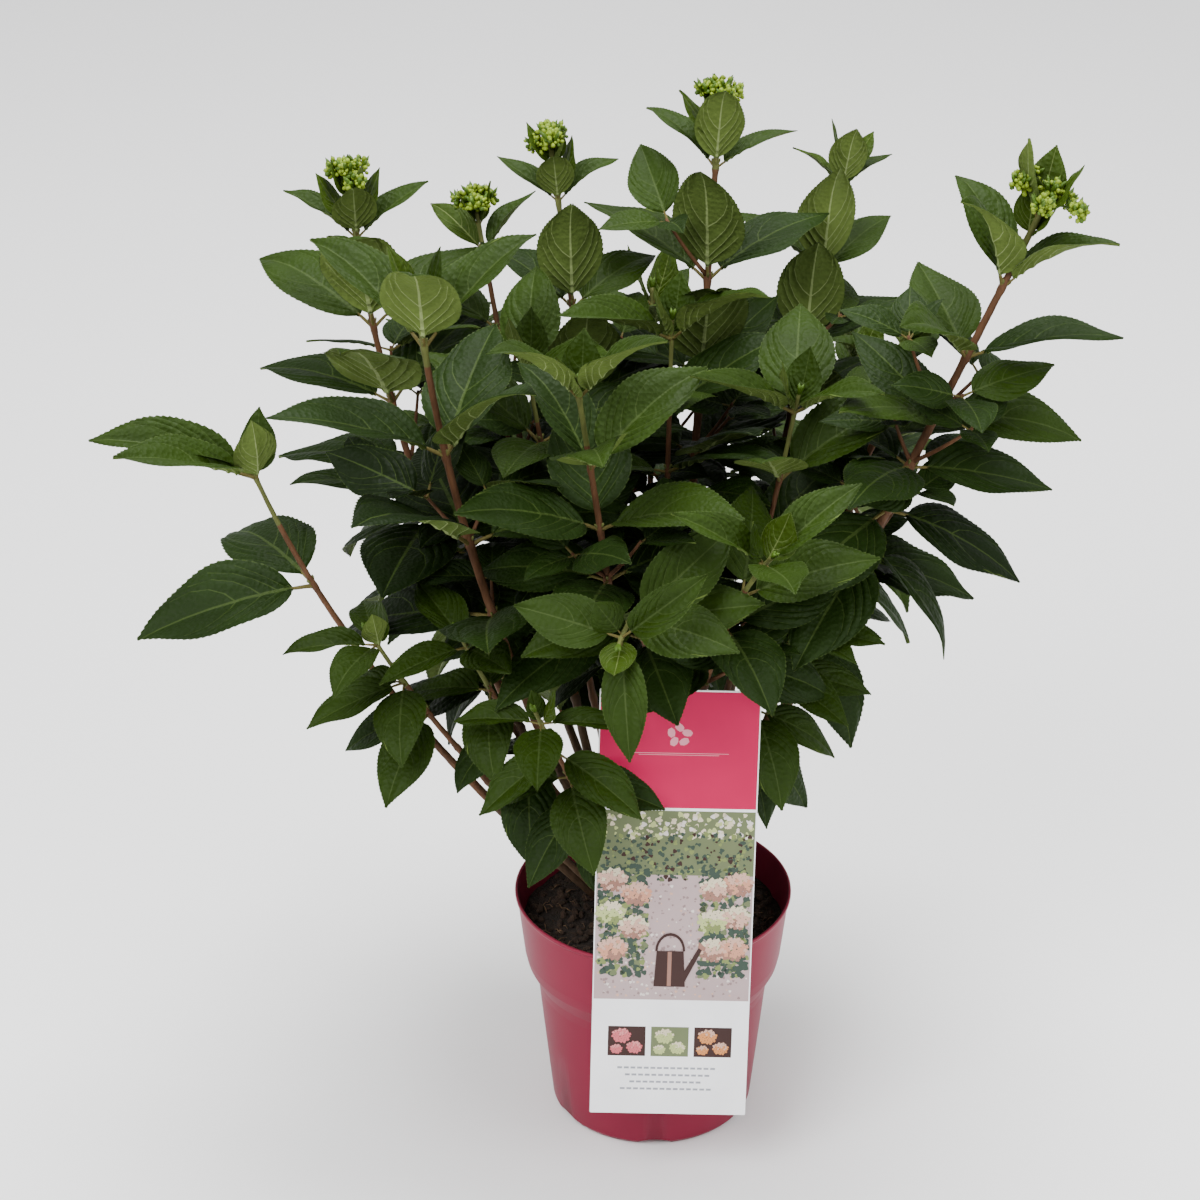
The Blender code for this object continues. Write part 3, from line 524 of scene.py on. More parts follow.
class Space:
    """What is taken: a leaf is placed only where it meets nothing of another piece."""

    def __init__(self):
        self.taken = []

    def add(self, solid, owner):
        self.taken.append((*self.measured(solid), owner))

    def add_shoot(self, mass):
        """The shoot itself and the flower heads at its tip."""
        path = mass.path
        marks = np.linspace(STUB_LENGTH, path.length, SHOOT_RINGS)
        radii = [shoot_radius(mass.shoot, path, m) for m in marks]
        self.add(closed_tube([path.at(m) for m in marks], radii, 5), mass.shoot.name)
        for head in mass.heads:
            self.add(closed_tube([head - HEAD_HEIGHT * UP, head + HEAD_HEIGHT * UP], [HEAD_RADIUS] * 2, 4),
                     mass.shoot.name)

    @staticmethod
    def measured(solid):
        points, faces = solid
        middle = sum(points, Vector()) / len(points)
        return BVHTree.FromPolygons(points, faces), middle, max((point - middle).length for point in points)

    def free(self, solid, skip=None):
        tree, middle, reach = self.measured(solid)
        return not any(owner != skip and (centre - middle).length < reach + radius and tree.overlap(other)
                       for other, centre, radius, owner in self.taken)


def blade_hull(leaf, swell=0.0):
    return leaf_hull(leaf, BLADE_STATIONS, swell)


def placed(space, owner, root, heading, bearing, lift, roll, length, droop, width=LEAF_WIDTH):
    """The leaf as asked, or turned, lifted or shortened a little until it is clear, or None."""
    for turn, raise_by, share in ((0, 0, 1), (14, 0, 1), (-14, 0, 1), (0, 16, 0.96), (24, 10, 0.9),
                                  (-24, 10, 0.9), (0, -16, 0.88), (12, 0, 0.72), (-12, 0, 0.72)):
        leaf = leaf_at(root, heading, bearing + math.radians(turn), lift + math.radians(raise_by),
                       roll, length * share, droop, width)
        if space.free(leaf_hull(leaf, swell=CLEARANCE), owner) and space.free(blade_hull(leaf, CLEARANCE)):
            return leaf
    return None


def facing(shoot, bearing):
    """How far a leaf of an upright shoot faces the light at the front: 0 at the sides, 1 at the front."""
    return max(math.cos(bearing), 0) ** 2 * shoot.steep / 90


def leaf_size(shoot, below_tip, bearing, rng):
    young = YOUNG_LACKS[shoot.crown] * math.exp(-(below_tip - shoot.first) / YOUNG_RANGE)
    old = 1 - OLD_LACK * min(max((below_tip - OLD_FROM) / OLD_RANGE, 0), 1)
    lit = 1 + FRONT_GAIN * facing(shoot, bearing)
    return shoot.leaf * (LEAF_LENGTH - young) * old * lit * rng.uniform(0.9, 1.06)


def hang(height):
    """How far a leaf at this height hangs: 0 in the light, 1 low in the shade."""
    return min(max((HANG_HEIGHT - height) / HANG_RANGE, 0), 1)


def leaf_width(shoot, below_tip, bearing):
    """Young leaves that stand to the side are still half folded."""
    folded = math.exp((shoot.first - below_tip) / FOLD_RANGE)
    return LEAF_WIDTH * (1 - 0.42 * folded * abs(math.sin(bearing)))


def swept(shoot, below_tip, bearing):
    """A bearing turned towards the side to which the shoot leans."""
    outward = math.degrees(math.atan2(shoot.tip[0], -shoot.tip[1]))
    share = shoot.sweep * math.exp(-below_tip / SWEEP_RANGE)
    return bearing + share * ((outward - bearing + 180) % 360 - 180)


def leaf_lift(shoot, below_tip, height, bearing, rng):
    lift = LIFT - LIFT_LOSS * below_tip - LOW_LIFT_LOSS * hang(height)
    lift += shoot.rise * min(max(1 - below_tip / RISE_RANGE, -1), 1)
    lift += 90 * facing(shoot, bearing) * math.exp(-below_tip / STEEP_RANGE)
    lift = min(max(lift, LOWEST_LIFT), STEEPEST)
    return math.radians(lift + rng.uniform(-8, 8))


def leaf_droop(shoot, below_tip, height, bearing, rng):
    young = YOUNG_DROOP_LACK * math.exp(-below_tip / DROOP_RANGE)
    droop = (DROOP - young) * (1 - 0.7 * facing(shoot, bearing)) + LOW_DROOP * hang(height)
    return math.radians(droop + rng.uniform(-7, 9))


def whorl_marks(shoot, path):
    """Distances from the tip of the whorls, down to where the mass starts."""
    lowest = path.length * (1 - shoot.bare) - LOWEST_WHORL
    marks = []
    mark, space = shoot.first, shoot.space
    while mark < lowest:
        marks.append(mark)
        mark += space
        space *= CLOSING
    return marks


class Mass:
    """What grows on one shoot: leaves with their distance below the tip, side twigs, and flower heads."""

    def __init__(self, shoot, path, number):
        self.shoot, self.path = shoot, path
        self.rng = random.Random(100 + number)
        self.fine_rng = random.Random(500 + number)
        self.leaves, self.twigs, self.heads, self.whorls = [], [], [], []

    def keep(self, leaf, below, space, whole=False):
        if leaf:
            self.leaves.append((leaf, below))
            if whole:
                space.add(leaf_hull(leaf), self.shoot.name)
            space.add(blade_hull(leaf), self.shoot.name)


def plan_tip(mass):
    """The middles of the heads of a tight panicle, with the same draws as the solids."""
    if mass.shoot.crown not in SIDE_HEADS:
        return
    tip, heading = mass.path.at(mass.path.length), mass.path.heading(mass.path.length)
    across = heading.orthogonal().normalized()
    spread, count = SIDE_HEADS[mass.shoot.crown]
    mass.heads.append(tip + 0.006 * heading)
    for i in range(count):
        turn = 2 * math.pi * (i + mass.rng.uniform(-0.15, 0.15)) / count
        out = math.cos(turn) * across + math.sin(turn) * heading.cross(across)
        mass.heads.append(tip + spread * out + mass.rng.uniform(-0.003, 0.005) * heading)


def plan_crown_leaves(mass, space):
    """The small upright leaves that cup the tip."""
    shoot, path, rng = mass.shoot, mass.path, mass.rng
    found = []
    mark = path.length - (0.030 if mass.heads else 0.014)
    for behind in (110, 250):
        bearing = math.radians(shoot.twist + behind + rng.uniform(-14, 14))
        found.append(placed(space, shoot.name, path.at(mark), path.heading(mark), bearing,
                            math.radians(rng.uniform(56, 64)), 0, shoot.leaf * rng.uniform(0.044, 0.052),
                            math.radians(-26), 0.60))
    for leaf in found:
        mass.keep(leaf, 0.0, space)


def plan_side_twig(mass, space, mark, bearing, rng, twig, skip):
    """A short shoot from the axil of a leaf, with leaves round its tip."""
    shoot, path = mass.shoot, mass.path
    heading = path.heading(mark)
    across = sideways(heading, bearing)
    going = (across + 0.75 * heading + 0.3 * UP).normalized()
    length = rng.uniform(*twig.lengths)
    root = path.at(mark)
    end = root + length * going + 0.15 * length * UP
    points = [root, root.lerp(end, 0.5) + 0.06 * length * across, end]
    wide = min(0.0016, 0.8 * shoot_radius(shoot, path, mark))
    if not space.free(closed_tube([points[0].lerp(points[1], 0.25), *points[1:]],
                                  [wide + CLEARANCE] * 3, 3), skip):
        return
    space.add(closed_tube(points, [wide, 0.85 * wide, 0.6 * wide], 3), shoot.name)
    mass.twigs.append((points, wide))
    tip_heading = (end - points[1]).normalized()
    leaves = []
    for i in range(twig.leaves):
        size = shoot.leaf * rng.uniform(*twig.sizes)
        turn = bearing + math.radians(360 * i / twig.leaves + rng.uniform(-15, 15))
        leaves.append(placed(space, shoot.name, end - 0.003 * tip_heading, tip_heading, turn,
                             math.radians(rng.uniform(18, 40)), math.radians(rng.uniform(-10, 10)), size,
                             math.radians(rng.uniform(10, 26))))
    for leaf in leaves:
        mass.keep(leaf, path.length - mark, space)


def plan_mass(mass, space):
    """The whorls and side twigs of the solids, in the same order and with the same draws."""
    shoot, path, rng = mass.shoot, mass.path, mass.rng
    plan_crown_leaves(mass, space)
    for i, below in enumerate(whorl_marks(shoot, path)):
        mark = path.length - below
        twist = shoot.twist + shoot.turn * i
        mass.whorls.append((mark, twist))
        for j in range(shoot.whorl):
            bearing = math.radians(swept(shoot, below, twist + 360 * j / shoot.whorl) + rng.uniform(-11, 11))
            root = path.at(mark)
            leaf = placed(space, shoot.name, root, path.heading(mark), bearing,
                          leaf_lift(shoot, below, root.z, bearing, rng), math.radians(rng.uniform(-12, 12)),
                          leaf_size(shoot, below, bearing, rng),
                          leaf_droop(shoot, below, root.z, bearing, rng), leaf_width(shoot, below, bearing))
            mass.keep(leaf, below, space, whole=True)
        if below > SIDE_TWIG_FROM and rng.random() < SIDE_TWIG_CHANCE:
            bearing = math.radians(twist + 180 / shoot.whorl + rng.uniform(-20, 20))
            plan_side_twig(mass, space, mark + 0.004, bearing, rng, SIDE_TWIG, None)


def plan_bracts(mass, space):
    """Small leaves that stand close round the flower heads, at their sides and behind them."""
    shoot, path, rng = mass.shoot, mass.path, mass.fine_rng
    mark = path.length - 0.016
    for degrees in BRACT_BEARINGS if mass.heads else ():
        bearing = math.radians(degrees + rng.uniform(-20, 20))
        leaf = leaf_at(path.at(mark), path.heading(mark), bearing, math.radians(rng.uniform(50, 66)), 0,
                       rng.uniform(*BRACT_SIZES[shoot.crown]), math.radians(-24), 0.55)
        if space.free(blade_hull(leaf, CLEARANCE), shoot.name):
            mass.keep(leaf, 0.0, space)


def plan_fine_growth(mass, space):
    """Finer side twigs in the axils of the older whorls, inside the mass."""
    rng = mass.fine_rng
    for mark, twist in mass.whorls:
        for side in range(mass.shoot.whorl):
            if mass.path.length - mark < FINE_TWIG_FROM or rng.random() > FINE_TWIG_CHANCE:
                continue
            bearing = math.radians(twist + 360 * (side + 0.5) / mass.shoot.whorl + rng.uniform(-24, 24))
            plan_side_twig(mass, space, mark + 0.003, bearing, rng, FINE_TWIG, mass.shoot.name)


def plan_all(space):
    """What grows on every shoot. The solids' growth comes first, so that the finer growth keeps clear."""
    roots = feet()
    masses = [Mass(shoot, Path(shoot, roots[shoot.name]), i) for i, shoot in enumerate(SHOOTS)]
    for mass in masses:
        plan_tip(mass)
        space.add_shoot(mass)
    for mass in masses:
        plan_mass(mass, space)
    for mass in masses:
        plan_fine_growth(mass, space)
        plan_bracts(mass, space)
    return masses


# ---- Leaves ----

def leaf_rows():
    """Rows across the blade: places on the midrib and the margin, side of a vein's strip or 0, swelling."""
    ends = [(0.0, 0.0), *VEINS, (1.0, 1.0)]
    rows = []
    for k, count in enumerate(ROWS_BEFORE):
        (rib, margin), (next_rib, next_margin) = ends[k], ends[k + 1]
        for i in range(1 if k else 0, count):
            share = i / count
            rows.append((rib + (next_rib - rib) * share, margin + (next_margin - margin) * share, 0,
                         math.sin(math.pi * share)))
        if k < len(VEINS):
            rows += [(next_rib, next_margin, -1, 0.0), (next_rib, next_margin, 1, 0.0)]
    return rows + [(1.0, 1.0, 0, 0.0)]


class LeafShape:
    """The mesh shared by all leaves, before each is scaled, folded and bent: shares of the leaf's blade."""

    def __init__(self):
        rib, margin, edge, swell = (np.array(row)[:, None] for row in zip(*leaf_rows()))
        self.across = np.array(COLUMNS)[None, :]
        self.out = out = np.abs(self.across)
        self.along = (rib + (margin - rib) * (0.30 * out + 0.70 * out**2.3)
                      + edge * VEIN_HALF * (1 - 0.45 * out))
        self.relief = swell * (4 * out * (1 - out)) ** 0.7
        self.vein = np.broadcast_to(np.abs(edge), self.along.shape) * (1 - out)
        self.oval = np.maximum(self.along, 0) ** 0.68 * np.maximum(1 - self.along, 0) ** 1.12 / 0.303
        rows, columns = self.along.shape
        i, j = np.meshgrid(np.arange(rows - 1), np.arange(columns - 1), indexing="ij")
        a = i * columns + j
        self.above = np.stack([a, a + 1, a + columns + 1, a + columns], -1).reshape(-1, 4)
        self.below = self.above[:, [0, 3, 2, 1]] + rows * columns  # split along the same diagonals
        strip = (edge[:-1, 0] == -1) & (edge[1:, 0] == 1)
        outer = (j == 0) | (j == columns - 2)
        self.is_vein = ((j == columns // 2 - 1) | (strip[i] & ~outer)).reshape(-1)
        left = np.array([(i * columns, (i + 1) * columns) for i in np.flatnonzero(~strip)])
        self.margins = ((left, -1), (left + columns - 1, 1))


SHAPE = LeafShape()


def spine_of(leaf, arch, u):
    """At the shares u of a leaf's length: how far along its heading and off its upper side, and its bend."""
    steps = np.linspace(0, 1.05, 43)
    bend = leaf.droop * steps + arch * np.clip((steps - ARCH_FROM) / (1 - ARCH_FROM), 0, None) ** 1.6
    step = steps[1] * leaf.length
    forward, off = (np.concatenate([[0], np.cumsum((way[1:] + way[:-1]) / 2)]) * step
                    for way in (np.cos(bend), -np.sin(bend)))
    return [np.interp(u, steps, found)[..., None] for found in (forward, off, bend)]


def add_leaf(batch, leaf, below, rng):
    """One leaf: two thin sheets with veins and quilting that meet at a toothed edge, and its petiole."""
    length = leaf.length
    narrow = min(max(1 - leaf.width / LEAF_WIDTH, 0) / 0.42, 1)
    upright = min(max((leaf.along.z - 0.6) / 0.35, 0), 1) if leaf.droop > 0 else 0
    arch = ARCH * upright * rng.uniform(0.8, 1.1) + (1 - upright) * rng.uniform(-0.10, 0.45)
    fold = math.radians(rng.uniform(7, 20) + FOLD * narrow)
    wave, phase, turns = rng.uniform(0.004, 0.020) * length, rng.uniform(0, 6.28), rng.uniform(1.2, 2.2)
    twist = math.radians(rng.uniform(-14, 14))
    curl = rng.uniform(0.05, 0.30)

    v, out, across = SHAPE.along, SHAPE.out, np.sign(SHAPE.across)
    middle = out < 0.1
    half = np.maximum(leaf.width / 2 * (1 + 0.3 * narrow) * length * SHAPE.oval, 0.0003)
    rib = np.minimum((RIB_HALF * (1 - v) + RIB_TIP_HALF) * length, 0.6 * half)
    y = np.where(middle, across * rib, SHAPE.across * half)
    z = QUILT * length * SHAPE.relief * (1 - 0.4 * v)
    z = z + wave * out**2 * np.sin(2 * np.pi * turns * v + phase) - curl * y * y / (0.28 * length)
    z = z - GROOVE * length * (1 - out) ** 6
    along, normal = np.array(leaf.along), np.array(leaf.normal)
    forward, off, bend = spine_of(leaf, arch, PETIOLE + (1 - PETIOLE) * v)
    spine = np.array(leaf.root) + forward * along + off * normal
    upper = np.sin(bend) * along + np.cos(bend) * normal
    turn = (twist * v + fold * across * np.minimum(1, 1.3 - v))[..., None]
    side = np.cos(turn) * np.cross(along, normal) + np.sin(turn) * upper
    above = spine + y[..., None] * side + z[..., None] * upper
    thick = (SHEET * (1 - out**4) + VEIN_DEPTH * length * SHAPE.vein
             + np.where(middle, RIB_DEPTH * length * (1 - v), 0))
    under = above - thick[..., None] * upper

    flat, side = above.reshape(-1, 3), side.reshape(-1, 3)
    points, teeth, count = [flat, under.reshape(-1, 3)], [], 2 * len(flat)
    for pairs, sign in SHAPE.margins:
        a, b = flat[pairs[:, 0]], flat[pairs[:, 1]]
        wide = np.minimum(np.linalg.norm(b - a, axis=1)[:, None], WIDEST_TOOTH * length)
        points.append(a + TOOTH_AT * (b - a) + TOOTH * wide * sign * side[pairs[:, 1]])
        teeth.append(np.stack([pairs[:, 0], count + np.arange(len(pairs)), pairs[:, 1]], -1)[:, ::sign])
        count += len(pairs)
    aged = below * rng.uniform(0.75, 1.3)
    blade, vein, beneath = (batch.slot(name) for name in LEAF_AGES[sum(aged > mark for mark in AGES)])
    # The lower sheet takes the underside colour: its own paler tone with painted light added
    batch.add(np.concatenate(points), (SHAPE.above, np.where(SHAPE.is_vein, vein, blade)),
              (SHAPE.below, np.where(SHAPE.is_vein, batch.slot("vein_below"), beneath)),
              (np.concatenate(teeth), vein))
    stalk = [leaf_rib(leaf, PETIOLE * 1.15 * i / 4)[0] for i in range(5)]
    width = 0.0092 * length + 0.0003
    add_tube(batch, stalk, [width * share for share in STALK_SHAPE], 6, batch.slot("petiole"))


def make_leaves(mass, materials):
    batch = Batch(LEAF_SLOTS)
    rng = random.Random("leaves " + mass.shoot.name)
    for leaf, below in mass.leaves:
        add_leaf(batch, leaf, below + OLDER[mass.shoot.crown], rng)
    return batch.build("leaves_" + mass.shoot.name, materials)


# ---- Shoots, crown and flower buds ----

def bark_radii(marks, radii, nodes, sides, rng):
    """A radius for each point round each ring: ridges, dents and the swollen nodes where leaves sit."""
    turns = np.linspace(0, 2 * np.pi, sides, endpoint=False)[None, :]
    marks = np.asarray(marks)[:, None]
    waves = sum(0.022 * np.sin(n * turns + rng.uniform(0, 6.28) + marks * rng.uniform(40, 160))
                for n in (2, 3, 4, 5))
    dents = 0.03 * np.sin(marks * 410 + 2 * np.sin(turns + rng.uniform(0, 6.28)))
    wide = np.asarray(radii)[:, None] * (1 + waves + dents)
    for node in nodes:
        wide = wide * (1 + 0.32 * np.exp(-(((marks - node) / 0.0026) ** 2)))
    return wide


def make_stem(mass, materials):
    """The whole shoot from the crown to its tip, with its side twigs and the buds in the axils."""
    shoot, path, rng = mass.shoot, mass.path, mass.fine_rng
    batch = Batch(("bark_old", "bark_red", "bark_green"))
    old, red, green = range(3)
    steps = int(path.length / 0.0032)
    marks = [path.length * i / steps for i in range(steps + 1)]
    nodes = [mark for mark, _ in mass.whorls]
    low = min(nodes, default=path.length)
    nodes += [low - shoot.space * k for k in (1, 2, 3, 4) if low - shoot.space * k > STUB_LENGTH]
    radii = bark_radii(marks, [shoot_radius(shoot, path, m) * 1.04 for m in marks], nodes, 10, rng)
    slots = [old if m < 0.30 * path.length else green if path.length - m < 0.05 else red for m in marks]
    add_tube(batch, [path.at(m) for m in marks], radii, 10, slots)
    for (a, b, c), wide in mass.twigs:
        fine = [a.lerp(b, t).lerp(b.lerp(c, t), t) for t in np.linspace(0, 1, 7)]
        add_tube(batch, fine, np.linspace(wide, 0.6 * wide, 7), 7, red)
    for mark, twist in mass.whorls:
        if path.length - mark < 0.03:
            continue
        heading, wide = path.heading(mark), shoot_radius(shoot, path, mark)
        for j in range(shoot.whorl):
            across = sideways(heading, math.radians(twist + 360 * j / shoot.whorl))
            add_ball(batch, path.at(mark + 0.0045) + wide * 1.1 * across, heading + 0.5 * across,
                     0.0011, 0.0026, green)
    return batch.build("stem_" + shoot.name, materials)


def make_buds(mass, materials):
    """Tight clusters of round buds on short stalks, or the pointed bud at a leafy shoot's tip."""
    path, rng = mass.path, mass.fine_rng
    tip, heading = path.at(path.length), path.heading(path.length)
    batch = Batch(("floret", "bract"))
    floret, bract = range(2)
    for i in range(0 if mass.heads else 3):
        lean = Vector((math.cos(2.1 * i), math.sin(2.1 * i), 0)) * 0.22
        add_ball(batch, tip + 0.003 * heading + 0.004 * lean, heading + lean, 0.0015, 0.0048, bract)
    for head in mass.heads:
        add_tube(batch, [tip - 0.006 * heading, tip.lerp(head, 0.5) - 0.001 * heading, head],
                 [0.0011, 0.0009, 0.0008], 5, bract)
        for _ in range(FLORETS):
            off = Vector((rng.gauss(0, 1), rng.gauss(0, 1), rng.gauss(0, 1))).normalized()
            if off.dot(heading) < -0.7:
                continue
            reach, size = FLORET_REACH * rng.uniform(0.5, 1.06), rng.uniform(*FLORET_SIZES)
            slot = bract if rng.random() < 0.2 else floret
            add_ball(batch, head + reach * off, off, size, size * 1.2, slot)
        for i in range(BRACTS):
            turn = 2 * math.pi * (i + rng.random()) / BRACTS
            off = Vector((math.cos(turn), math.sin(turn), 0.5)).normalized()
            add_ball(batch, head + 0.0052 * off, off + 0.8 * heading, 0.0014, 0.0060, bract)
    return batch.build("buds_" + mass.shoot.name, materials)


def make_crown(materials):
    """The knobbly woody foot of the shrub."""
    heights, radii = zip(*CROWN_OUTLINE)
    points = []
    for height in np.linspace(0, heights[-1], CROWN_RINGS):
        ring = around(np.interp(height, heights, radii), SOIL_TOP + height, CROWN_SIDES)
        for j, place in enumerate(ring):
            at = Vector(place)
            rough = 1 + 0.07 * math.cos(10 * math.pi * j / CROWN_SIDES + 0.6)
            rough += 0.10 * noise.noise(at * 160) + 0.05 * noise.noise(at * 420)
            points.append((at.x * rough, at.y * rough, at.z))
    points.append((0, 0, SOIL_TOP + heights[-1]))
    count = CROWN_RINGS * CROWN_SIDES
    batch = Batch(("bark_old",))
    batch.add(points, (ring_quads(CROWN_RINGS, CROWN_SIDES), 0),
              (fan(count - CROWN_SIDES, CROWN_SIDES, count)[:, ::-1], 0))
    return batch.build("crown_wood", materials)


# ---- Pot, compost and card ----

def rounded(outline, radius, steps=3):
    """An outline whose inner corners are cut by short arcs."""
    outline = [Vector((r, z)) for z, r in outline]
    found = [outline[0]]
    for before, corner, after in zip(outline, outline[1:], outline[2:]):
        reach = min(radius, 0.45 * (corner - before).length, 0.45 * (after - corner).length)
        a = corner + (before - corner).normalized() * reach
        b = corner + (after - corner).normalized() * reach
        for i in range(steps + 1):
            t = i / steps
            found.append((1 - t) ** 2 * a + 2 * t * (1 - t) * corner + t * t * b)
    return found + [outline[-1]]


def make_pot(materials):
    """The pot as one turned skin: outside, rim, inside and floor, with arched notches in its foot."""
    outline = rounded([(POT_UNDERSIDE, FOOT_INNER), *POT_OUTLINE, *POT_INSIDE], POT_CORNER)
    turns = np.linspace(0, 2 * np.pi, POT_SIDES, endpoint=False)
    between = 2 * math.pi / FOOT_NOTCHES
    off = (turns - FIRST_NOTCH + between / 2) % between - between / 2
    notches = NOTCH_HEIGHT * np.sqrt(np.maximum(0, 1 - (off / NOTCH_HALF_TURN) ** 2))
    points = []
    for radius, height in outline:
        heights = np.full(POT_SIDES, height)
        if height < NOTCH_HEIGHT and radius > NOTCH_FROM:
            heights = np.maximum(heights, notches)
        points.append(np.stack([radius * np.cos(turns), radius * np.sin(turns), heights], -1))
    points.append([(0, 0, POT_UNDERSIDE), (0, 0, POT_FLOOR)])
    batch = Batch(("pot",))
    batch.add(np.concatenate(points), (ring_quads(len(outline), POT_SIDES), 0),
              (caps(len(outline), POT_SIDES), 0))
    return batch.build("nursery_pot", materials)


def make_soil(materials):
    """Moist compost with crumbs of bark and pale fibres on it."""
    rng = random.Random(7)
    batch = Batch(("soil", "crumb", "fibre"))
    soil, crumb, fibre = range(3)
    points = []
    for i in range(SOIL_RINGS):
        for place in around(SOIL_RADIUS * (i + 0.3) / (SOIL_RINGS - 0.7), 0, SOIL_SIDES):
            at = Vector(place)
            rough = sum(height * noise.noise(at * scale) for height, scale in SOIL_ROUGH)
            points.append((at.x, at.y, SOIL_TOP - 0.0006 + rough))
    middle, last = len(points), len(points) - SOIL_SIDES
    edge = np.array(points[last:])
    skirt = edge * (0.97, 0.97, 0) + (0, 0, SOIL_SKIRT)
    j = np.arange(SOIL_SIDES)
    turned = (j + 1) % SOIL_SIDES
    side = np.stack([last + j, middle + 1 + j, middle + 1 + turned, last + turned], -1)
    quads = np.concatenate([ring_quads(SOIL_RINGS, SOIL_SIDES), side])[:, ::-1]
    batch.add(np.concatenate([points, [(0, 0, SOIL_TOP)], skirt]), (quads, soil),
              (fan(0, SOIL_SIDES, middle)[:, ::-1], soil))

    def spot(inset):
        """A random place on the compost, away from its edge."""
        radius, turn = (SOIL_RADIUS - inset) * math.sqrt(rng.random()), rng.uniform(0, 2 * math.pi)
        return radius * math.cos(turn), radius * math.sin(turn)

    for _ in range(CRUMBS):
        x, y = spot(0.004)
        size = rng.uniform(0.0008, 0.0028)
        add_ball(batch, (x, y, SOIL_TOP + 0.3 * size), (rng.gauss(0, 1), rng.gauss(0, 1), rng.gauss(0, 0.5)),
                 size, size * rng.uniform(0.8, 2.2), crumb)
    for _ in range(FIBRES):
        at = Vector((*spot(0.010), SOIL_TOP + 0.0012))
        way = Vector((rng.gauss(0, 1), rng.gauss(0, 1), 0)).normalized() * rng.uniform(0.004, 0.010)
        add_tube(batch, [at, at + 0.5 * way + 0.0014 * UP, at + way], [0.0003, 0.00035, 0.0002], 4, fibre)
    return batch.build("compost", materials, smooth=False)


class Card:
    """The card's plane: points by shares of its width and by metres down from its top."""

    def __init__(self):
        self.level = Vector((math.cos(CARD_ROLL), 0, -math.sin(CARD_ROLL)))
        self.upright = Vector((math.sin(CARD_ROLL), math.sin(CARD_LEAN), math.cos(CARD_LEAN))).normalized()
        inward = self.upright.cross(self.level).normalized()
        self.inward = inward if inward.y > 0 else -inward

    def at(self, x, down, depth=0.0):
        """x from -1 to 1 across, down from 0 at the top to CARD_LENGTH, depth into the card."""
        rise = CARD_LENGTH - CARD_BELOW_RIM - down
        return CARD_AT + x * CARD_WIDTH / 2 * self.level + rise * self.upright + depth * self.inward


def lobed(x, down, radius, petals, spin):
    """The outline of a round, lobed blossom or leaf clump."""
    outline = []
    for i in range(petals * 4):
        turn = 2 * math.pi * i / (petals * 4)
        reach = radius * (1 - LOBE_DEPTH + LOBE_DEPTH * math.cos(petals * turn + spin))
        outline.append((x + ACROSS * reach * math.cos(turn), down - reach * math.sin(turn)))
    return outline


class Print:
    """Flat inks on the card's face, each at a level over it. Dabs of one level lie at slightly different
    heights, so none flickers."""

    def __init__(self, batch, card, seed):
        self.batch, self.card, self.rng = batch, card, random.Random(seed)
        self.count = 0

    def shape(self, outline, ink, level):
        """A flat shape round its own middle."""
        n = len(outline)
        middle = [sum(place[k] for place in outline) / n for k in (0, 1)]
        points = [self.card.at(x, y, -level * PRINT_LEVEL) for x, y in (*outline, middle)]
        tris = fan(0, n, n)[:, [1, 0, 2]]
        a, b, c = (points[k] for k in tris[0])
        if (b - a).cross(c - a).dot(self.card.inward) > 0:
            tris = tris[:, ::-1]
        self.batch.add(points, (tris, self.batch.slot("card_" + ink)))

    def panel(self, left, top, right, bottom, ink, level):
        self.shape([(right, top), (left, top), (left, bottom), (right, bottom)], ink, level)

    def dab(self, x, down, radius, ink, level, petals=3):
        self.count += 1
        level += PRINT_STEP / PRINT_LEVEL * (self.count % PRINT_STEPS)
        self.shape(lobed(x, down, radius, petals, self.rng.uniform(0, 6.28)), ink, level)

    def scatter(self, count, box, radii, inks, level):
        left, top, right, bottom = box
        for _ in range(count):
            self.dab(self.rng.uniform(left, right), self.rng.uniform(top, bottom), self.rng.uniform(*radii),
                     self.rng.choice(inks), level)

    def pompom(self, x, down, radius, inks, level):
        """A domed head of many florets, dark below and light above."""
        dark, middle, light = inks
        for i in range(POMPOM_FLORETS):
            turn, share = 2.4 * i, math.sqrt((i + 0.5) / POMPOM_FLORETS)
            across, over = share * math.cos(turn), share * math.sin(turn)
            lit = over + self.rng.uniform(-0.5, 0.5)
            ink = light if lit > 0.35 else middle if lit > -0.45 else dark
            self.dab(x + ACROSS * radius * across, down - 0.82 * radius * over, 0.17 * radius, ink, level, 4)


def make_card(materials):
    """The laminated card with its hook over the rim, and a plain printed design of its own."""
    card = Card()
    batch = Batch([name for name in COLOURS if name.startswith("card")])
    outline = []
    reach, low = 1 - ACROSS * CARD_CORNER, CARD_LENGTH - CARD_CORNER
    for x, down, start in ((reach, CARD_CORNER, 0), (-reach, CARD_CORNER, 90),
                           (-reach, low, 180), (reach, low, 270)):
        for i in range(5):
            turn = math.radians(start + 90 * i / 4)
            outline.append((x + ACROSS * CARD_CORNER * math.cos(turn), down - CARD_CORNER * math.sin(turn)))
    points = [card.at(x, down, depth) for depth in (0, CARD_THICK) for x, down in outline]
    points += [card.at(0, CARD_LENGTH / 2, depth) for depth in (0, CARD_THICK)]
    sides = len(outline)
    batch.add(points, (ring_quads(2, sides), 0), (caps(2, sides)[:, ::-1], 0))
    print_header(Print(batch, card, 0))
    print_garden(Print(batch, card, 21))
    print_foot(Print(batch, card, 33))
    add_hook(batch)
    return batch.build("picture_card", materials, smooth=False)


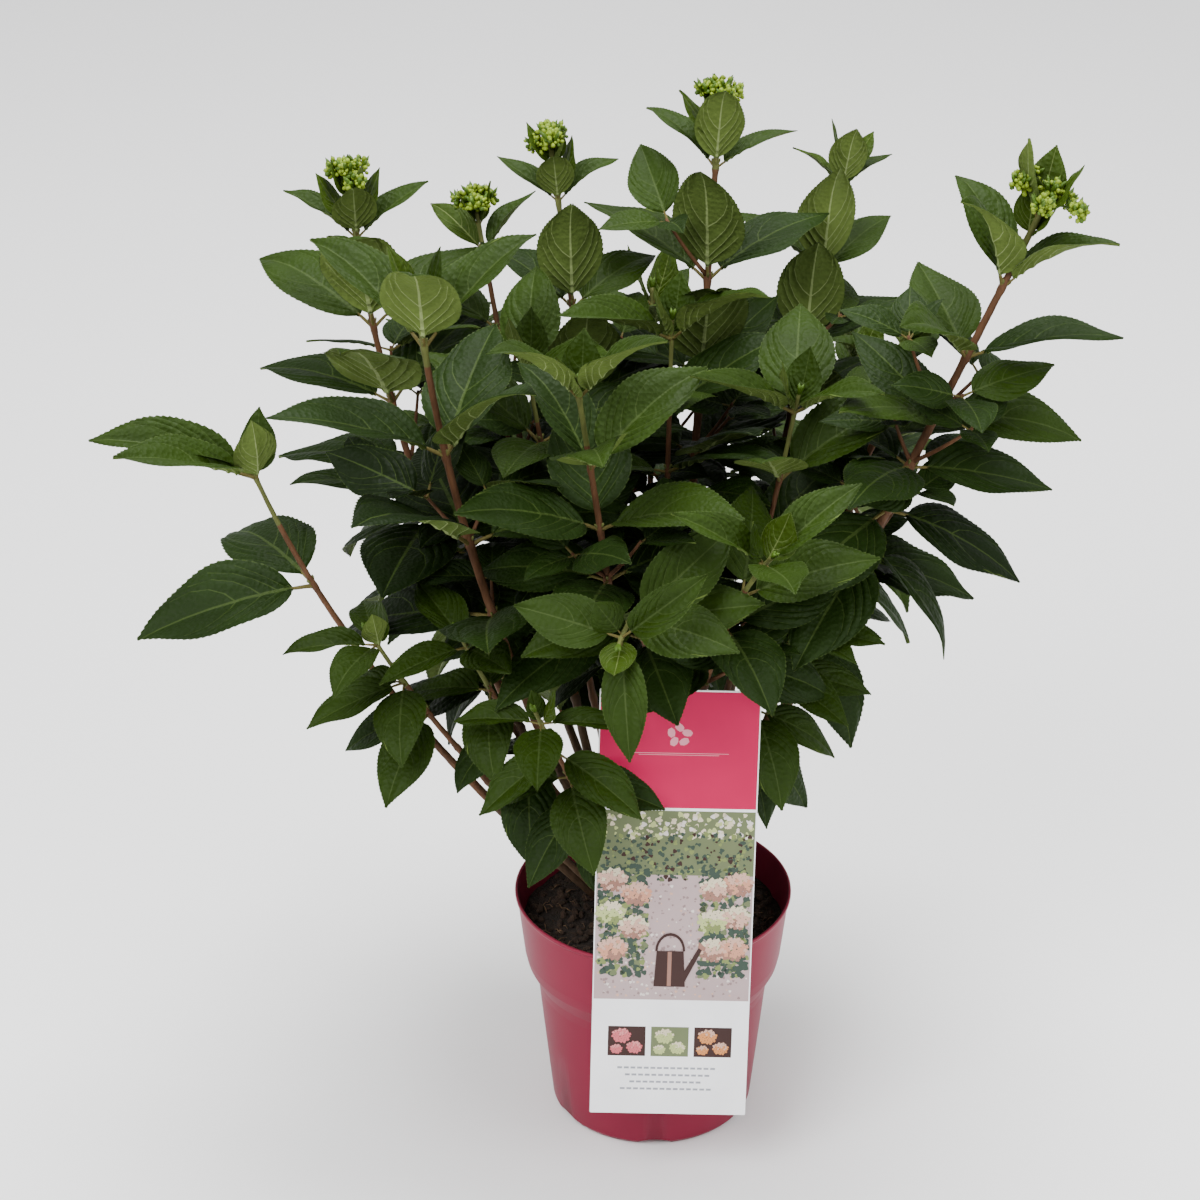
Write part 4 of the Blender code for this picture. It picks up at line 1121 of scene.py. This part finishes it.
def add_hook(batch):
    """The tongue over the rim: a level strip and one that hangs inside."""
    over = POT_OUTLINE[-1][0] + 0.0006
    for front, back, low in ((CARD_AT.y + 0.0008, TONGUE_BACK_Y, over),
                             (TONGUE_BACK_Y - TONGUE_THICK, TONGUE_BACK_Y, SOIL_TOP + 0.0006)):
        points = [(CARD_AT.x + side * TONGUE_WIDTH / 2, y, z) for z in (low, over + TONGUE_THICK)
                  for side, y in ((-1, front), (1, front), (1, back), (-1, back))]
        quads = [(3, 2, 1, 0), (4, 5, 6, 7), (0, 1, 5, 4), (1, 2, 6, 5), (2, 3, 7, 6), (3, 0, 4, 7)]
        batch.add(points, (quads, 0))


def print_header(ink):
    """A raspberry header with a small flower over two fine rules."""
    ink.panel(-PRINT_HALF, 0.001, PRINT_HALF, HEADER_FOOT, "header", 1)
    for down, half in ((0.0440, 0.62), (0.0452, 0.50)):
        ink.panel(-half, down, half, down + 0.0004, "petal", 2)
    for i in range(5):
        turn = math.radians(90 + 72 * i)
        petal = lobed(0.105 * math.cos(turn), 0.0315 - 0.0055 * math.sin(turn), 0.0036, 2, turn)
        ink.shape(petal, "petal", 2 + 0.1 * i)


def print_garden(ink):
    """A clipped hedge behind two beds of round flower heads, a gravel path between and a watering can."""
    top, foot = PICTURE_TOP, PICTURE_FOOT
    hedge, bed = top + 0.046, foot - 0.028
    ink.panel(-PRINT_HALF, top, PRINT_HALF, hedge, "leafy", 1)
    ink.panel(-PRINT_HALF, hedge, PRINT_HALF, foot, "gravel", 1)
    ink.scatter(260, (-0.94, top + 0.002, 0.94, top + 0.020), (0.0008, 0.0022),
                ("pale", "cream", "lime", "leafy"), 2)
    ink.scatter(420, (-0.95, top + 0.016, 0.95, hedge + 0.004), (0.0008, 0.0020),
                ("leafy", "deep", "deep", "moss", "dark"), 3)
    ink.scatter(700, (-0.95, hedge + 0.006, 0.95, foot - 0.002), (0.0005, 0.0013),
                ("pale", "gravel", "stone", "stone", "blush"), 2)
    for left, right in ((-0.94, -0.34), (0.34, 0.94)):
        ink.scatter(460, (left, hedge - 0.006, right, bed + 0.010), (0.0012, 0.0028),
                    ("deep", "deep", "deep", "leafy", "moss"), 4)
    peach, rosy, green = ("dusk", "blush", "cream"), ("dusk", "peach", "blush"), ("moss", "lime", "cream")
    for x, down, tones in (
            (-0.78, 0.050, peach), (-0.48, 0.060, rosy), (-0.80, 0.074, green), (-0.50, 0.084, peach),
            (-0.76, 0.100, rosy), (0.80, 0.052, rosy), (0.50, 0.056, peach), (0.78, 0.076, peach),
            (0.49, 0.079, green), (0.76, 0.099, rosy), (0.50, 0.100, peach)):
        ink.pompom(x, top + down, 0.0098, tones, 6)
    print_can(ink, foot)


def print_can(ink, foot):
    """A plain brown watering can on the path: body, spout, rose, band and an arched handle."""
    for level, (tone, *outline) in enumerate((
            ("dark", (-0.20, 0.036), (0.14, 0.036), (0.17, 0.010), (-0.23, 0.010)),
            ("dark", (0.12, 0.018), (0.34, 0.040), (0.38, 0.038), (0.15, 0.012)),
            ("dusk", (0.33, 0.043), (0.42, 0.039), (0.40, 0.036), (0.32, 0.039)),
            ("dusk", (-0.01, 0.0355), (-0.06, 0.0355), (-0.06, 0.0105), (-0.01, 0.0105)))):
        ink.shape([(x, foot - up) for x, up in outline], tone, 10 + 0.1 * level)
    for i in range(12):
        turns = [math.radians(15 * k) for k in (i, i + 1)]
        arc = [(-0.03 + reach * math.cos(t), foot - 0.036 - reach * 0.070 * math.sin(t))
               for reach, order in ((0.19, turns), (0.16, turns[::-1])) for t in order]
        ink.shape(arc, "dark", 10.4)


def print_foot(ink):
    """Three swatches with flower heads over four rows of grey marks."""
    foot = PICTURE_FOOT
    for middle, (ground, tone, light) in ((-0.55, ("dark", "pink", "rose")), (0, ("leafy", "lime", "cream")),
                                          (0.55, ("dark", "orange", "blush"))):
        ink.panel(middle - 0.24, foot + 0.020, middle + 0.24, foot + 0.042, ground, 1)
        for x, down, radius in ((-0.07, 0.0270, 0.0062), (0.10, 0.0355, 0.0052), (-0.13, 0.0370, 0.0040)):
            ink.pompom(middle + x, foot + down, radius, (tone, tone, light), 2)
    for i, half in enumerate((0.66, 0.56, 0.50, 0.62)):
        down = foot + 0.0500 + 0.0052 * i
        for k in range(int(2 * half / MARK_SPACE)):
            x = -half + MARK_SPACE * k
            ink.panel(x, down, x + 0.062, down + 0.0015, "rule", 1)


# ---- Stage ----

def make_stage(materials):
    """A pale floor, an even white surrounding, three soft lamps and the camera."""
    mesh = bpy.data.meshes.new("floor")
    mesh.from_pydata([(x * FLOOR_HALF, y * FLOOR_HALF, 0) for x, y in ((-1, -1), (1, -1), (1, 1), (-1, 1))],
                     [], [(0, 1, 2, 3)])
    mesh.materials.append(materials["floor"])
    floor = linked("floor", mesh)
    floor.location.z = -FLOOR_DROP

    world = bpy.data.worlds.new("studio")
    world.use_nodes = True
    background = world.node_tree.nodes["Background"]
    background.inputs["Color"].default_value = (1, 1, 1, 1)
    background.inputs["Strength"].default_value = WORLD_LIGHT
    bpy.context.scene.world = world
    for name, place, size, power in LAMPS:
        lamp = bpy.data.lights.new(name, "AREA")
        lamp.size, lamp.energy = size, power
        found = linked(name, lamp)
        found.location = place
        found.rotation_euler = (LIT_POINT - Vector(place)).to_track_quat("-Z", "Y").to_euler()

    lens = bpy.data.cameras.new("camera")
    lens.lens, lens.sensor_width = LENS, SENSOR
    camera = linked("camera", lens)
    camera.location = CAMERA_AT
    camera.rotation_euler = (math.radians(90 - CAMERA_DOWN), 0, 0)
    bpy.context.scene.camera = camera


def corners(bounds):
    return [[float(value) for value in corner] for corner in bounds]


# ---- The scene ----

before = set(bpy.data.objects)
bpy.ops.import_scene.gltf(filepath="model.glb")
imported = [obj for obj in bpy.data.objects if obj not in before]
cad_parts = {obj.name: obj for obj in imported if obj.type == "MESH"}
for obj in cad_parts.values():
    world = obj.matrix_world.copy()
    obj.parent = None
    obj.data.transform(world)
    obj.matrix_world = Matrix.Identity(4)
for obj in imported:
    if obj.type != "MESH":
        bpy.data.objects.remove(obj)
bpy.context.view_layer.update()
materials = make_materials()

space = Space()
for name in ("pot", "root_ball", "card_label", "woody_crown"):
    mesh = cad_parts[name].data
    space.add(([v.co.copy() for v in mesh.vertices], [tuple(p.vertices) for p in mesh.polygons]), name)

pieces = [(make_pot(materials), "pot", "pot"), (make_soil(materials), "soil", "root_ball"),
          (make_card(materials), "card", "card_label"), (make_crown(materials), "stems", "woody_crown")]
for mass in plan_all(space):
    name = mass.shoot.name
    pieces += [(make_stem(mass, materials), "stems", "bough_" + name),
               (make_leaves(mass, materials), "foliage", "foliage_" + name),
               (make_buds(mass, materials), "foliage", None)]
for piece, slot, replaced in pieces:
    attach(piece, "root")
    if replaced:
        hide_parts(replaced)

make_stage(materials)
